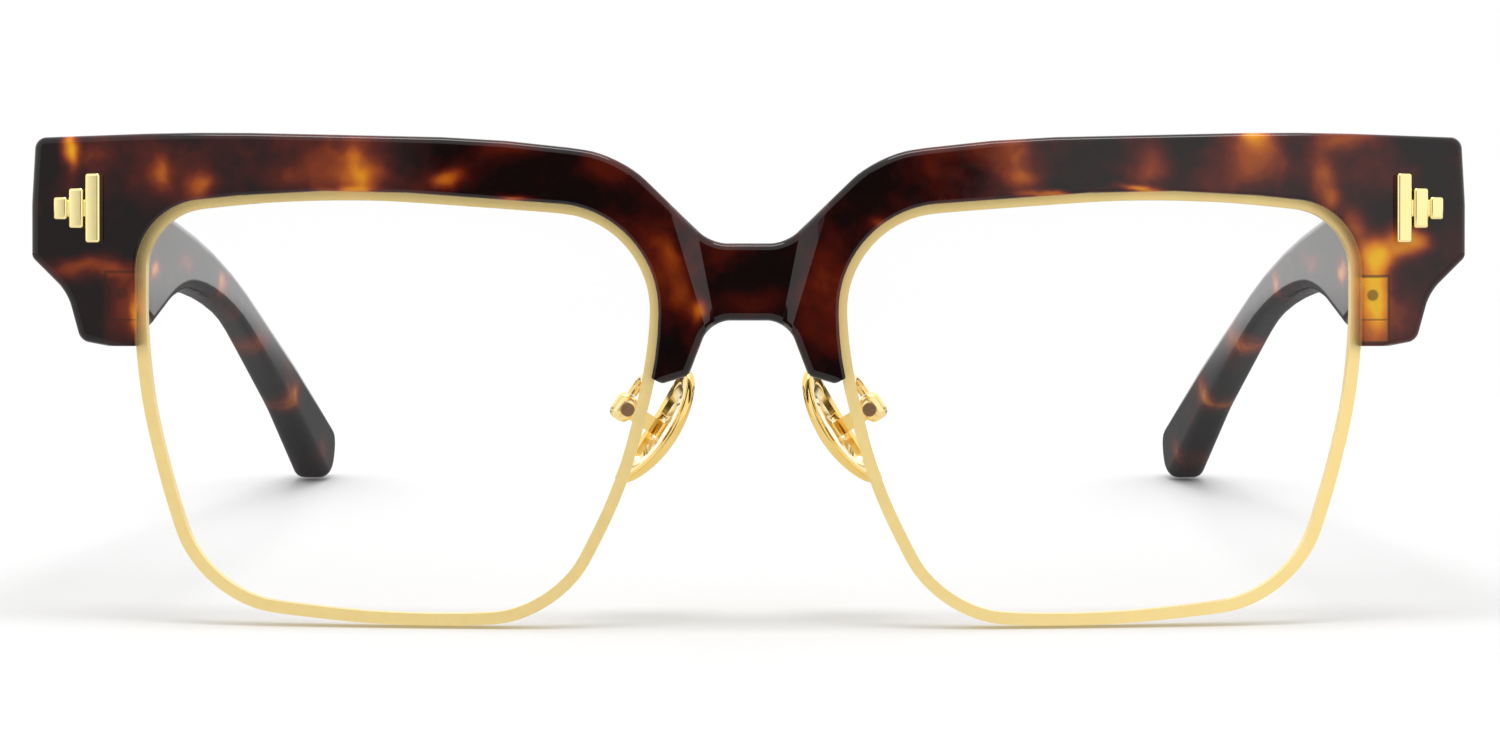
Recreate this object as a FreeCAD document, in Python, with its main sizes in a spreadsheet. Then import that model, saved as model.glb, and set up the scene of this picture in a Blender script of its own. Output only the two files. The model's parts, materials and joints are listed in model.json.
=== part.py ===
import FreeCAD, Part
import math
import os

Vector = FreeCAD.Vector
Rotation = FreeCAD.Rotation
Placement = FreeCAD.Placement

ACROSS = Vector(1, 0, 0)
BACK = Vector(0, 1, 0)
UP = Vector(0, 0, 1)

doc = FreeCAD.newDocument("browline_glasses")

# Driving dimensions in millimetres and degrees.
# The front is drawn upright: x across, y backwards from the acetate's face, z up from the rims' lowest point.
driving_sizes = {
    # acetate brow, bridge and end pieces
    "front_radius": 430.0,
    "brow_thickness": 5.0,
    "brow_rise": 5.6,
    "end_piece_width": 10.5,
    "end_piece_height": 12.7,
    "end_drop": 9.1,
    "notch_depth": 11.4,
    "bridge_height": 7.8,
    "nasal_drop": 6.4,
    "bridge_recess": 1.2,
    "bridge_flat_width": 10.2,
    "bridge_facet_width": 2.05,
    "top_corner_radius": 1.2,
    "drop_corner_radius": 2.1,
    "drop_hollow_radius": 5.0,
    "notch_radius": 4.0,
    "shoulder_radius": 4.5,
    "nose_radius": 3.0,
    "nasal_corner_radius": 0.7,
    # metal rims and lenses
    "rim_gap": 17.5,
    "rim_width": 54.0,
    "rim_height": 44.6,
    "rim_wall": 1.2,
    "rim_depth": 2.4,
    "rim_setback": 1.9,
    "lip_overlap": 0.36,
    "groove_depth": 0.45,
    "groove_width": 0.8,
    "lens_radius": 150.0,
    "lens_thickness": 1.8,
    # closing blocks and their screws
    "block_width": 2.45,
    "block_depth": 2.8,
    "block_height": 6.8,
    "block_lower_height": 2.5,
    "split_gap": 0.2,
    "closing_screw_radius": 0.5,
    "closing_screw_length": 4.2,
    "closing_head_radius": 0.8,
    "closing_head_height": 0.4,
    "brow_screw_radius": 0.55,
    "brow_screw_bite": 1.2,
    "brow_head_radius": 0.95,
    "brow_head_height": 0.5,
    # stepped plaques
    "plaque_inset": 4.95,
    "plaque_length": 5.05,
    "plaque_height": 7.1,
    "plaque_proud": 0.75,
    "plaque_sink": 0.35,
    # five-barrel hinges
    "hinge_inset": 8.95,
    "pivot_setback": 1.8,
    "hinge_drop": 1.1,
    "knuckle_radius": 1.5,
    "knuckle_height": 1.35,
    "knuckle_gap": 0.08,
    "web_width": 2.2,
    "plate_thickness": 0.9,
    "front_plate_width": 5.2,
    "temple_plate_length": 7.0,
    "hinge_screw_radius": 0.6,
    "hinge_head_radius": 1.1,
    "hinge_head_height": 0.6,
    # temples and their cores
    "toe_in_angle": 5.6,
    "butt_gap": 0.25,
    "temple_length": 131.5,
    "temple_drop": 36.9,
    "temple_top_drop": 2.8,
    "temple_front_thickness": 6.8,
    "arm_thickness": 2.8,
    "arm_height": 4.8,
    "tip_thickness": 3.8,
    "tip_height": 6.4,
    "tip_radius": 2.6,
    "fin_hollow_radius": 10.0,
    "fin_tip_radius": 2.2,
    "temple_edge_bevel": 0.8,
    "core_thickness": 0.8,
    "core_height": 1.4,
    # nose pads, boxes and arms
    "pad_spread": 18.0,
    "pad_setback": 11.15,
    "pad_drop": 4.9,
    "pad_frontal_angle": 32.5,
    "pad_splay_angle": 20.0,
    "pad_length": 13.6,
    "pad_width": 7.0,
    "pad_thickness": 1.1,
    "pad_dish_radius": 16.0,
    "pad_stem": 4.8,
    "tongue_thickness": 0.8,
    "tongue_height": 1.6,
    "pad_box_width": 2.3,
    "pad_box_height": 3.1,
    "pad_box_depth": 2.2,
    "pad_screw_radius": 0.35,
    "pad_head_radius": 0.7,
    "pad_head_height": 0.4,
    "arm_wire_radius": 0.5,
    "arm_bend_radius": 1.6,
    "arm_rise": 2.4,
    # clearances and one overrun for every cut
    "seat_gap": 0.05,
    "running_gap": 0.05,
    "side_gap": 0.08,
    "overrun": 2.0,
}

# Outline corners as hand-chosen shares of the sizes that they follow.
# Rim: across the rim's width, up its height, and how much of the shorter side beside it a corner's arc takes.
rim_corner_shares = [
    (1.000, 0.963, 0.425),
    (0.638, 1.007, 0.443),
    (0.000, 0.950, 0.716),
    (0.000, 0.628, 0.260),
    (0.062, 0.323, 0.260),
    (0.190, 0.013, 0.440),
    (0.468, -0.008, 0.520),
    (0.877, 0.047, 0.494),
    (0.965, 0.386, 0.304),
    (1.000, 0.610, 0.369),
]
rim_lowest_share = 0.45
# Brow top: across the rim's width and up the brow's rise, with the same share for its arc.
brow_top_shares = [
    (0.292, 0.857, 0.304),
    (0.875, 1.000, 0.328),
]
# Temple: along its length and down its drop; the lower edge hangs the arm's or the tip's height below.
temple_top_shares = [(-0.040, -0.010), (0.444, 0.232), (0.776, 0.575), (1.000, 0.835)]
temple_tip_share = 0.965
fin_shares = [(0.264, 0.322), (0.145, 0.444), (-0.040, 0.271)]
temple_bend_share = 0.75
taper_end_share = 0.49
core_span_shares = (0.075, 0.90)
core_end_drop_share = 0.72
# Brow corners: across half the rims' gap, the end piece or the rim, then up the part named beside them.
notch_share = 0.434
shoulder_shares = (1.486, 0.56)
top_end_shares = (0.963, 0.91)
end_bow_share = 0.43
drop_hollow_shares = (0.6465, 0.6)
drop_corner_share = 0.516
drop_inner_share = 0.764
nasal_inner_shares = (0.097, 0.45)
nasal_tip_shares = (0.697, 0.125)
nose_share = 0.451
bridge_flare_share = 0.42
plaque_level_share = 0.39
# Plaque bars: start and width over the plaque's length, height over its height.
plaque_bar_shares = [(0.00, 0.31, 1.00), (0.40, 0.26, 0.56), (0.72, 0.28, 0.30)]
plaque_neck_shares = [(0.30, 0.11, 0.50), (0.65, 0.08, 0.26)]

sheet = doc.addObject("Spreadsheet::Sheet", "sizes")
for row, (alias, value) in enumerate(driving_sizes.items(), start=1):
    sheet.set(f"A{row}", alias)
    sheet.set(f"B{row}", str(value))
    sheet.setAlias(f"B{row}", alias)
doc.recompute()


def size(alias):
    return float(sheet.get(alias))


# Places that follow from the driving dimensions
radius = size("front_radius")
overrun = size("overrun")
seat_gap = size("seat_gap")
rim_inner_x = size("rim_gap") / 2
rim_outer_x = rim_inner_x + size("rim_width")
front_end_x = rim_outer_x + size("end_piece_width")
brow_top_z = size("rim_height") + size("brow_rise")
end_piece_bottom_z = brow_top_z - size("end_piece_height")
end_drop_bottom_z = end_piece_bottom_z - size("end_drop")
bridge_top_z = brow_top_z - size("notch_depth")
bridge_bottom_z = bridge_top_z - size("bridge_height")
nasal_bottom_z = bridge_bottom_z - size("nasal_drop")
hinge_height = 5 * size("knuckle_height") + 4 * size("knuckle_gap")
hinge_middle_z = brow_top_z - size("end_piece_height") / 2 - size("hinge_drop")
hinge_bottom_z = hinge_middle_z - hinge_height / 2 - size("hinge_head_height")


def surface_y(x, setback):
    """Depth of the curved front, set back from its face, at a distance from the middle."""
    return radius - math.sqrt((radius - setback) ** 2 - x ** 2)


def wrap_angle(x, setback):
    return math.degrees(math.asin(x / (radius - setback)))


front_reach = surface_y(front_end_x, size("brow_thickness")) + overrun


# Feature helpers
def bind(item, **expressions):
    for property_name, expression in expressions.items():
        item.setExpression(property_name, expression)
    return item


def box(name, place, **lengths):
    item = bind(doc.addObject("Part::Box", name), **lengths)
    item.Placement = place
    return item


def cylinder(name, place, **lengths):
    item = bind(doc.addObject("Part::Cylinder", name), **lengths)
    item.Placement = place
    return item


def sphere(name, centre, **lengths):
    item = bind(doc.addObject("Part::Sphere", name), **lengths)
    item.Placement.Base = centre
    return item


def cut(name, base, *tools):
    item = doc.addObject("Part::Cut", name)
    item.Base = base
    item.Tool = tools[0] if len(tools) == 1 else fuse(name + "_tools", *tools)
    return item


def fuse(name, *items):
    item = doc.addObject("Part::MultiFuse", name)
    item.Shapes = list(items)
    return item


def common(name, base, tool):
    item = doc.addObject("Part::Common", name)
    item.Base = base
    item.Tool = tool
    return item


def mirrored(name, source):
    item = doc.addObject("Part::Mirroring", name)
    item.Source = source
    item.Normal = ACROSS
    return item


def pair(name, source):
    """Two identical fasteners, one on each side, as one group."""
    item = doc.addObject("Part::Compound", name)
    item.Links = [source, mirrored(name + "_other_side", source)]
    return item


def profile(name, wire):
    item = doc.addObject("Part::Feature", name)
    item.Shape = wire
    return item


def offset_profile(name, source, expression):
    item = doc.addObject("Part::Offset2D", name)
    item.Source = source
    return bind(item, Value=expression)


def extrusion(name, base, direction, reach):
    item = doc.addObject("Part::Extrusion", name)
    item.Base = base
    item.DirMode = "Custom"
    item.Dir = direction
    item.LengthFwd = reach
    item.Solid = True
    return item


def along(x=0, y=0, z=0):
    return Placement(Vector(x, y, z), Rotation())


# Outlines: straight runs joined by tangent arcs
def corner_arc(before, corner, after, corner_radius):
    arriving = (corner - before).normalize()
    leaving = (after - corner).normalize()
    half_turn = arriving.getAngle(leaving) / 2
    reach = corner_radius * math.tan(half_turn)
    inward = (leaving - arriving).normalize()
    centre = corner + inward * (corner_radius / math.cos(half_turn))
    start = corner - arriving * reach
    end = corner + leaving * reach
    middle = centre - inward * corner_radius
    return start, middle, end, centre


def easing_radius(before, corner, after, reach_share):
    """Radius of the arc that takes a share of the shorter of the two sides that meet in a corner."""
    arriving = corner - before
    leaving = after - corner
    reach = min(arriving.Length, leaving.Length) * reach_share
    return reach / math.tan(arriving.getAngle(leaving) / 2)


def rounded_edges(corners, closed=True):
    points = [point for point, _ in corners]
    edges = []
    stops = []
    for index, (point, corner_radius) in enumerate(corners):
        is_end = not closed and index in (0, len(corners) - 1)
        if is_end or corner_radius == 0:
            stops.append((point, point))
            edges.append(None)
            continue
        before = points[index - 1]
        after = points[(index + 1) % len(points)]
        start, middle, end, _ = corner_arc(before, point, after, corner_radius)
        stops.append((start, end))
        edges.append(Part.Arc(start, middle, end).toShape())
    ordered = []
    for index, arc in enumerate(edges):
        if arc is not None:
            ordered.append(arc)
        if closed or index < len(edges) - 1:
            leave = stops[index][1]
            arrive = stops[(index + 1) % len(stops)][0]
            ordered.append(Part.LineSegment(leave, arrive).toShape())
    return ordered


def rounded_wire(corners):
    return Part.Wire(rounded_edges(corners))


# Curved slabs that follow the front
def front_solid(name, setback):
    place = along(y=radius, z=-overrun)
    item = cylinder(name, place, Radius=f"sizes.front_radius - ({setback})")
    item.Height = brow_top_z + 2 * overrun
    return item


def slab(name, setback, depth):
    outer = front_solid(name + "_face", setback)
    inner = front_solid(name + "_back", f"{setback} + {depth}")
    return cut(name, outer, inner)


def front_prism(name, outline):
    item = extrusion(name, outline, BACK, front_reach + overrun)
    item.Placement = along(y=-overrun)
    return item


# Rim outline and its offsets, right side
def rim_point(width_share, height_share):
    return Vector(rim_inner_x + size("rim_width") * width_share, 0, size("rim_height") * height_share)


rim_points = [rim_point(across, up) for across, up, _ in rim_corner_shares]
rim_corners = []
for index, (_, _, reach_share) in enumerate(rim_corner_shares):
    before, corner = rim_points[index - 1], rim_points[index]
    after = rim_points[(index + 1) % len(rim_points)]
    rim_corners.append((corner, easing_radius(before, corner, after, reach_share)))
rim_outline = profile("rim_outline", rounded_wire(rim_corners))
rim_outer = front_prism("rim_outer", rim_outline)
rim_opening_outline = offset_profile("rim_opening_outline", rim_outline, "-sizes.rim_wall")
rim_opening = front_prism("rim_opening", rim_opening_outline)
rim_slab = slab("rim_slab", "sizes.rim_setback", "sizes.rim_depth")
rim_ring = cut("rim_ring", rim_outer, rim_opening)
rim_blank = common("rim_blank", rim_ring, rim_slab)

groove_setback = "sizes.rim_setback + (sizes.rim_depth - sizes.groove_width) / 2"
groove_outline = offset_profile("groove_outline", rim_outline, "sizes.groove_depth - sizes.rim_wall")
groove_slab = slab("groove_slab", groove_setback, "sizes.groove_width")
groove = common("groove", front_prism("groove_prism", groove_outline), groove_slab)

# The closing block's place: beside the rim, low on the temporal side
block_bottom_z = end_drop_bottom_z + seat_gap
split_z = block_bottom_z + size("block_lower_height")
block_front_y = surface_y(rim_outer_x + size("block_width"), size("rim_setback"))
split_tool = box(
    "split_tool",
    along(rim_outer_x - size("rim_width") / 2, 0, split_z),
    Length="sizes.rim_width",
    Height="sizes.split_gap",
)
split_tool.Width = front_reach
rim_right = cut("rim_right", rim_blank, groove, split_tool)
rim_left = mirrored("rim_left", rim_right)

# Lens: a curved shell with a tongue that runs in the rim's groove
lens_middle_x = rim_inner_x + size("rim_width") / 2
lens_middle_z = size("rim_height") / 2
side_bulge = (size("rim_width") / 2) ** 2 / 2 * (1 / size("lens_radius") - 1 / radius)
top_bulge = (size("rim_height") / 2) ** 2 / 2 / size("lens_radius")
groove_middle = size("rim_setback") + size("rim_depth") / 2
lens_setback = groove_middle - (side_bulge + top_bulge) / 2 - size("lens_thickness") / 2
lens_turn = math.radians(wrap_angle(lens_middle_x, 0))
lens_axis = Vector(-math.sin(lens_turn), math.cos(lens_turn), 0)
lens_vertex = Vector(lens_middle_x, surface_y(lens_middle_x, lens_setback), lens_middle_z)
lens_centre = lens_vertex + lens_axis * size("lens_radius")
lens_shell = cut(
    "lens_shell",
    sphere("lens_face", lens_centre, Radius="sizes.lens_radius"),
    sphere("lens_back", lens_centre, Radius="sizes.lens_radius - sizes.lens_thickness"),
)
lens_outline = offset_profile("lens_outline", rim_outline, "-sizes.rim_wall - sizes.seat_gap")
lens_disc = common("lens_disc", front_prism("lens_prism", lens_outline), lens_shell)
tongue_outline = offset_profile(
    "tongue_outline", rim_outline, "sizes.groove_depth - sizes.rim_wall - sizes.seat_gap"
)
tongue_inside = offset_profile("tongue_inside", rim_outline, "-sizes.rim_wall - sizes.groove_depth")
tongue_ring = cut(
    "tongue_ring",
    front_prism("tongue_prism", tongue_outline),
    front_prism("tongue_core", tongue_inside),
)
tongue_slab = slab(
    "tongue_slab", groove_setback + " + sizes.seat_gap", "sizes.groove_width - 2 * sizes.seat_gap"
)
lens_tongue = common("lens_tongue", tongue_ring, tongue_slab)
lens_right = fuse("lens_right", lens_disc, lens_tongue)
lens_left = mirrored("lens_left", lens_right)

# Closing block in two halves with a vertical screw, and the screw that holds it to the acetate
block_axis_x = rim_outer_x + size("block_width") / 2
block_axis_y = block_front_y + size("block_depth") / 2
upper_height = size("block_height") - size("block_lower_height") - size("split_gap")
upper_bottom_z = split_z + size("split_gap")
closing_top_z = block_bottom_z + size("closing_head_height") + size("closing_screw_length")
brow_screw_z = (closing_top_z + block_bottom_z + size("block_height")) / 2


def block_half(name, bottom_z, height):
    place = along(rim_outer_x - size("rim_wall"), block_front_y, bottom_z)
    item = box(name, place, Length="sizes.block_width + sizes.rim_wall", Width="sizes.block_depth")
    item.Height = height
    return item


def upright_rod(name, bottom_z, radius_text, height_text):
    place = along(block_axis_x, block_axis_y, bottom_z)
    return cylinder(name, place, Radius=radius_text, Height=height_text)


def backward_rod(name, front_y, radius_text, length):
    place = Placement(Vector(block_axis_x, front_y, brow_screw_z), Rotation(ACROSS, -90))
    item = cylinder(name, place, Radius=radius_text)
    item.Height = length
    return item


closing_head_z = block_bottom_z + size("closing_head_height")
closing_hole = upright_rod(
    "closing_hole",
    closing_head_z,
    "sizes.closing_screw_radius + sizes.running_gap",
    "sizes.closing_screw_length + sizes.running_gap",
)
closing_recess = upright_rod(
    "closing_recess",
    block_bottom_z - overrun,
    "sizes.closing_head_radius + sizes.running_gap",
    "sizes.closing_head_height + sizes.overrun",
)
brow_screw_front_y = block_front_y - size("brow_screw_bite")
brow_hole = backward_rod(
    "brow_hole",
    brow_screw_front_y - size("running_gap"),
    "sizes.brow_screw_radius + sizes.running_gap",
    size("brow_screw_bite") + size("block_depth") + overrun,
)
closing_upper_right = cut(
    "closing_block_upper_right",
    block_half("block_upper", upper_bottom_z, upper_height),
    rim_outer, closing_hole, brow_hole,
)
closing_lower_right = cut(
    "closing_block_lower_right",
    block_half("block_lower", block_bottom_z, size("block_lower_height")),
    rim_outer, closing_hole, closing_recess,
)
closing_upper_left = mirrored("closing_block_upper_left", closing_upper_right)
closing_lower_left = mirrored("closing_block_lower_left", closing_lower_right)
closing_screw = fuse(
    "closing_screw",
    upright_rod("closing_shank", closing_head_z, "sizes.closing_screw_radius", "sizes.closing_screw_length"),
    upright_rod("closing_head", block_bottom_z, "sizes.closing_head_radius", "sizes.closing_head_height"),
)
closing_screws = pair("closing_screws", closing_screw)
block_back_y = block_front_y + size("block_depth")
brow_head = backward_rod("brow_head", block_back_y, "sizes.brow_head_radius", size("brow_head_height"))
brow_shank = backward_rod(
    "brow_shank", brow_screw_front_y, "sizes.brow_screw_radius",
    size("brow_screw_bite") + size("block_depth"),
)
brow_screws = pair("brow_screws", fuse("brow_screw", brow_shank, brow_head))

# Stepped plaque, sunk a little into the end piece
plaque_x = front_end_x - size("plaque_inset")
plaque_turn = Rotation(UP, wrap_angle(plaque_x, 0))
plaque_z = end_piece_bottom_z + size("end_piece_height") * plaque_level_share
plaque_place = Placement(Vector(plaque_x, surface_y(plaque_x, 0), plaque_z), plaque_turn)


def plaque_bars(name, gap):
    bars = []
    for number, (start, width, height) in enumerate(plaque_bar_shares + plaque_neck_shares):
        length = size("plaque_length")
        tall = size("plaque_height") * height
        corner = along(
            start * length - length / 2 - gap,
            -size("plaque_proud"),
            -tall / 2 - gap,
        )
        item = box(f"{name}_{number}", plaque_place.multiply(corner))
        item.Length = width * length + 2 * gap
        item.Height = tall + 2 * gap
        item.Width = size("plaque_proud") + size("plaque_sink") + gap
        bars.append(item)
    return fuse(name, *bars)


front_plaque_right = plaque_bars("front_plaque_right", 0)
front_plaque_left = mirrored("front_plaque_left", front_plaque_right)
plaque_recess = plaque_bars("plaque_recess", seat_gap)

# Hinge frame: the pivot stands behind the end piece's back face, inside the temple
hinge_x = front_end_x - size("hinge_inset")
hinge_turn = wrap_angle(hinge_x, size("brow_thickness"))
hinge_foot = Vector(hinge_x, surface_y(hinge_x, size("brow_thickness")), 0)
pivot = hinge_foot + Rotation(UP, hinge_turn).multVec(BACK) * size("pivot_setback")
front_side = Placement(pivot, Rotation(UP, hinge_turn))
temple_side = Placement(pivot, Rotation(UP, size("toe_in_angle")))


def knuckle_z(level):
    return hinge_bottom_z + level * (size("knuckle_height") + size("knuckle_gap"))


def knuckles(name, side, levels, web_place):
    pieces = []
    for level in levels:
        lift = along(z=knuckle_z(level))
        pieces.append(cylinder(
            f"{name}_barrel_{level}", side.multiply(lift),
            Radius="sizes.knuckle_radius", Height="sizes.knuckle_height",
        ))
        pieces.append(box(
            f"{name}_web_{level}", side.multiply(lift).multiply(web_place),
            Length="sizes.web_width", Width="sizes.pivot_setback", Height="sizes.knuckle_height",
        ))
    return pieces


def hinge_rod(name, bottom_z, radius_text, height):
    item = cylinder(name, front_side.multiply(along(z=bottom_z)), Radius=radius_text)
    item.Height = height
    return item


half_web = size("web_width") / 2
hinge_bore = hinge_rod(
    "hinge_bore", hinge_bottom_z - overrun,
    "sizes.hinge_screw_radius + sizes.running_gap", hinge_height + 2 * overrun,
)
front_web_place = along(-half_web, -size("pivot_setback"))
front_plate_place = along(-half_web, -size("pivot_setback") - size("plate_thickness"), hinge_bottom_z)
front_plate = box(
    "front_plate", front_side.multiply(front_plate_place),
    Length="sizes.front_plate_width", Width="sizes.plate_thickness",
)
front_plate.Height = hinge_height
front_hinge_right = cut(
    "front_hinge_right",
    fuse("front_leaf", front_plate, *knuckles("front", front_side, (0, 2, 4), front_web_place)),
    hinge_bore,
)
front_hinge_left = mirrored("front_hinge_left", front_hinge_right)

temple_plate_place = along(size("pivot_setback"), -half_web, hinge_bottom_z)
temple_plate = box(
    "temple_plate", temple_side.multiply(temple_plate_place),
    Length="sizes.plate_thickness", Width="sizes.temple_plate_length",
)
temple_plate.Height = hinge_height
temple_web_place = Placement(Vector(size("pivot_setback"), -half_web, 0), Rotation(UP, 90))
temple_hinge_right = cut(
    "temple_hinge_right",
    fuse("temple_leaf", temple_plate, *knuckles("temple", temple_side, (1, 3), temple_web_place)),
    hinge_bore,
)
temple_hinge_left = mirrored("temple_hinge_left", temple_hinge_right)
hinge_screws = pair("hinge_screws", fuse(
    "hinge_screw",
    hinge_rod("hinge_shank", hinge_bottom_z, "sizes.hinge_screw_radius", hinge_height),
    hinge_rod(
        "hinge_head", hinge_bottom_z + hinge_height,
        "sizes.hinge_head_radius", size("hinge_head_height"),
    ),
))

# Temple: a side outline and a top outline, extruded across each other
temple_top_z = brow_top_z - size("temple_top_drop")


def temple_point(length_share, drop_share, lower=0):
    z = temple_top_z - size("temple_drop") * drop_share - lower
    return Vector(0, size("temple_length") * length_share, z)


bend_radius = size("temple_length") * temple_bend_share
top_edge = [temple_point(*share) for share in temple_top_shares]
under_edge = [
    temple_point(*temple_top_shares[1], lower=size("arm_height")),
    temple_point(*temple_top_shares[2], lower=size("tip_height")),
]
fin_edge = [temple_point(*share) for share in fin_shares]
tip_bottom = temple_point(temple_tip_share, 1)
temple_corners = [
    (top_edge[0], 0),
    (top_edge[1], bend_radius),
    (top_edge[2], bend_radius),
    (top_edge[3], size("tip_radius")),
    (tip_bottom, size("tip_radius")),
    (under_edge[1], bend_radius),
    (under_edge[0], bend_radius),
    (fin_edge[0], size("fin_hollow_radius")),
    (fin_edge[1], size("fin_tip_radius")),
    (fin_edge[2], 0),
]
temple_inside = size("pivot_setback")
temple_butt_y = top_edge[0].y
temple_end_y = size("temple_length") + size("tip_radius")
temple_plan = [
    (Vector(temple_inside, temple_butt_y, 0), 0),
    (Vector(temple_inside + size("temple_front_thickness"), temple_butt_y, 0), 0),
    (Vector(temple_inside + size("arm_thickness"), size("temple_length") * taper_end_share, 0), bend_radius),
    (Vector(temple_inside + size("tip_thickness"), temple_end_y, 0), 0),
    (Vector(temple_inside, temple_end_y, 0), 0),
]
temple_height = size("temple_drop") + size("temple_top_drop") + 2 * overrun
side_view = profile("temple_side_view", rounded_wire(temple_corners))
top_view = profile("temple_top_view", rounded_wire(temple_plan))
temple_across = temple_inside + size("temple_front_thickness") + overrun
side_prism = extrusion("temple_side_prism", side_view, ACROSS, temple_across)
top_prism = extrusion("temple_top_prism", top_view, UP, temple_height)
top_prism.Placement = along(z=temple_top_z - temple_height + overrun)
temple_blank = common("temple_blank", side_prism, top_prism)
doc.recompute()


def runs_along_arm(edge):
    """Long edges of the arm, not the ones across its thickness nor those of the butt end."""
    start, end = (edge.valueAt(parameter) for parameter in edge.ParameterRange)
    return abs(start.y - end.y) + abs(start.z - end.z) > 0 and max(start.y, end.y) > temple_butt_y


bevelled_temple = doc.addObject("Part::Chamfer", "bevelled_temple")
bevelled_temple.Base = temple_blank
bevel = size("temple_edge_bevel")
long_edges = [number for number, edge in enumerate(temple_blank.Shape.Edges, start=1) if runs_along_arm(edge)]
bevelled_temple.Edges = [(number, bevel, bevel) for number in long_edges]

# Core strip along the middle of the arm, with its own channel in the acetate
core_start, core_end = core_span_shares
bend_place, bend_drop = temple_top_shares[1]
core_x = temple_inside + (size("arm_thickness") - size("core_thickness")) / 2


def core_strip(name, gap):
    half = size("core_height") / 2 + gap
    middle = size("arm_height") / 2
    line = [
        temple_point(core_start, bend_drop * core_start / bend_place, lower=middle),
        temple_point(*temple_top_shares[1], lower=middle),
        temple_point(*temple_top_shares[2], lower=middle),
        temple_point(core_end, core_end_drop_share, lower=middle),
    ]
    over = [(point + UP * half, bend_radius) for point in line]
    under = [(point - UP * half, bend_radius) for point in reversed(line)]
    over[0] = (over[0][0] - BACK * gap, 0)
    under[-1] = (under[-1][0] - BACK * gap, 0)
    over[-1] = (over[-1][0] + BACK * gap, 0)
    under[0] = (under[0][0] + BACK * gap, 0)
    outline = profile(name + "_outline", rounded_wire(over + under))
    item = extrusion(name, outline, ACROSS, size("core_thickness") + 2 * gap)
    item.Placement = along(core_x - gap)
    return item


temple_core_right = core_strip("temple_core_right", 0)
core_channel = core_strip("core_channel", seat_gap)
temple_recess = box(
    "temple_recess", along(temple_inside - overrun, temple_butt_y - overrun, hinge_bottom_z - seat_gap)
)
temple_recess.Length = size("plate_thickness") + seat_gap + overrun
temple_recess.Width = size("temple_plate_length") - half_web + seat_gap - temple_butt_y + overrun
temple_recess.Height = hinge_height + 2 * seat_gap
temple_flat = cut("temple_flat", bevelled_temple, core_channel, temple_recess)
temple_flat.Placement = temple_side
butt_width = size("temple_front_thickness") + size("hinge_inset")
butt_tool = box("butt_tool", front_side.multiply(along(
    -butt_width,
    -size("pivot_setback") + size("butt_gap") - butt_width,
    temple_top_z - temple_height,
)))
butt_tool.Length = 2 * butt_width
butt_tool.Width = butt_width
butt_tool.Height = 2 * temple_height
temple_right = cut("temple_right", temple_flat, butt_tool)
temple_left = mirrored("temple_left", temple_right)
temple_core_right.Placement = temple_side.multiply(along(core_x))
temple_core_left = mirrored("temple_core_left", temple_core_right)

# Brow: the outline of the whole front, curved, with a rebate for each rim
def end_x(share):
    return rim_outer_x + size("end_piece_width") * share


def rise_z(share):
    return size("rim_height") + size("brow_rise") * share


def drop_z(share):
    return end_drop_bottom_z + size("end_drop") * share


def nasal_z(share):
    return nasal_bottom_z + size("nasal_drop") * share


def rim_x(share):
    return rim_inner_x + size("rim_width") * share


nose_half = rim_inner_x
end_bow_z = end_piece_bottom_z + size("end_piece_height") * end_bow_share
shoulder = Vector(nose_half * shoulder_shares[0], 0, rise_z(shoulder_shares[1]))
top_end = Vector(end_x(top_end_shares[0]), 0, rise_z(top_end_shares[1]))
top_points = [Vector(rim_x(across), 0, rise_z(up)) for across, up, _ in brow_top_shares]
brow_right_corners = [
    (Vector(nose_half * notch_share, 0, bridge_top_z), size("notch_radius")),
    (shoulder, size("shoulder_radius")),
    (top_points[0], easing_radius(shoulder, top_points[0], top_points[1], brow_top_shares[0][2])),
    (top_points[1], easing_radius(top_points[0], top_points[1], top_end, brow_top_shares[1][2])),
    (top_end, size("top_corner_radius")),
    (Vector(front_end_x, 0, end_bow_z), size("end_piece_height")),
    (Vector(front_end_x, 0, end_piece_bottom_z), 0),
    (Vector(end_x(drop_hollow_shares[0]), 0, drop_z(drop_hollow_shares[1])), size("drop_hollow_radius")),
    (Vector(end_x(drop_corner_share), 0, end_drop_bottom_z), size("drop_corner_radius")),
    (Vector(rim_x(drop_inner_share), 0, end_drop_bottom_z), 0),
    (Vector(rim_x(nasal_inner_shares[0]), 0, nasal_z(nasal_inner_shares[1])), 0),
    (Vector(nose_half, 0, nasal_bottom_z), size("nasal_corner_radius")),
    (Vector(nose_half * nasal_tip_shares[0], 0, nasal_z(nasal_tip_shares[1])), size("nasal_corner_radius")),
    (Vector(nose_half * nose_share, 0, bridge_bottom_z), size("nose_radius")),
]
brow_left_corners = [(Vector(-point.x, 0, point.z), r) for point, r in reversed(brow_right_corners)]
brow_outline = profile("brow_outline", rounded_wire(brow_right_corners + brow_left_corners))
brow_slab = slab("brow_slab", "0", "sizes.brow_thickness")
brow_blank = common("brow_blank", front_prism("brow_prism", brow_outline), brow_slab)

# Bridge facets: a shallow tapered recess between the two brows
recess_bottom_z = bridge_bottom_z - overrun


def recess_wire(name, y, half_width):
    wide = half_width * (1 + bridge_flare_share)
    narrow = half_width * (1 - bridge_flare_share)
    points = [
        Vector(-narrow, y, recess_bottom_z),
        Vector(narrow, y, recess_bottom_z),
        Vector(wide, y, brow_top_z),
        Vector(-wide, y, brow_top_z),
    ]
    return profile(name, Part.makePolygon(points + points[:1]))


flat_half = size("bridge_flat_width") / 2
bridge_tool = doc.addObject("Part::Loft", "bridge_tool")
bridge_tool.Sections = [
    recess_wire("recess_mouth", -size("bridge_recess"), flat_half + 2 * size("bridge_facet_width")),
    recess_wire("recess_floor", size("bridge_recess"), flat_half),
]
bridge_tool.Solid = True
bridge_tool.Ruled = True

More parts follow.
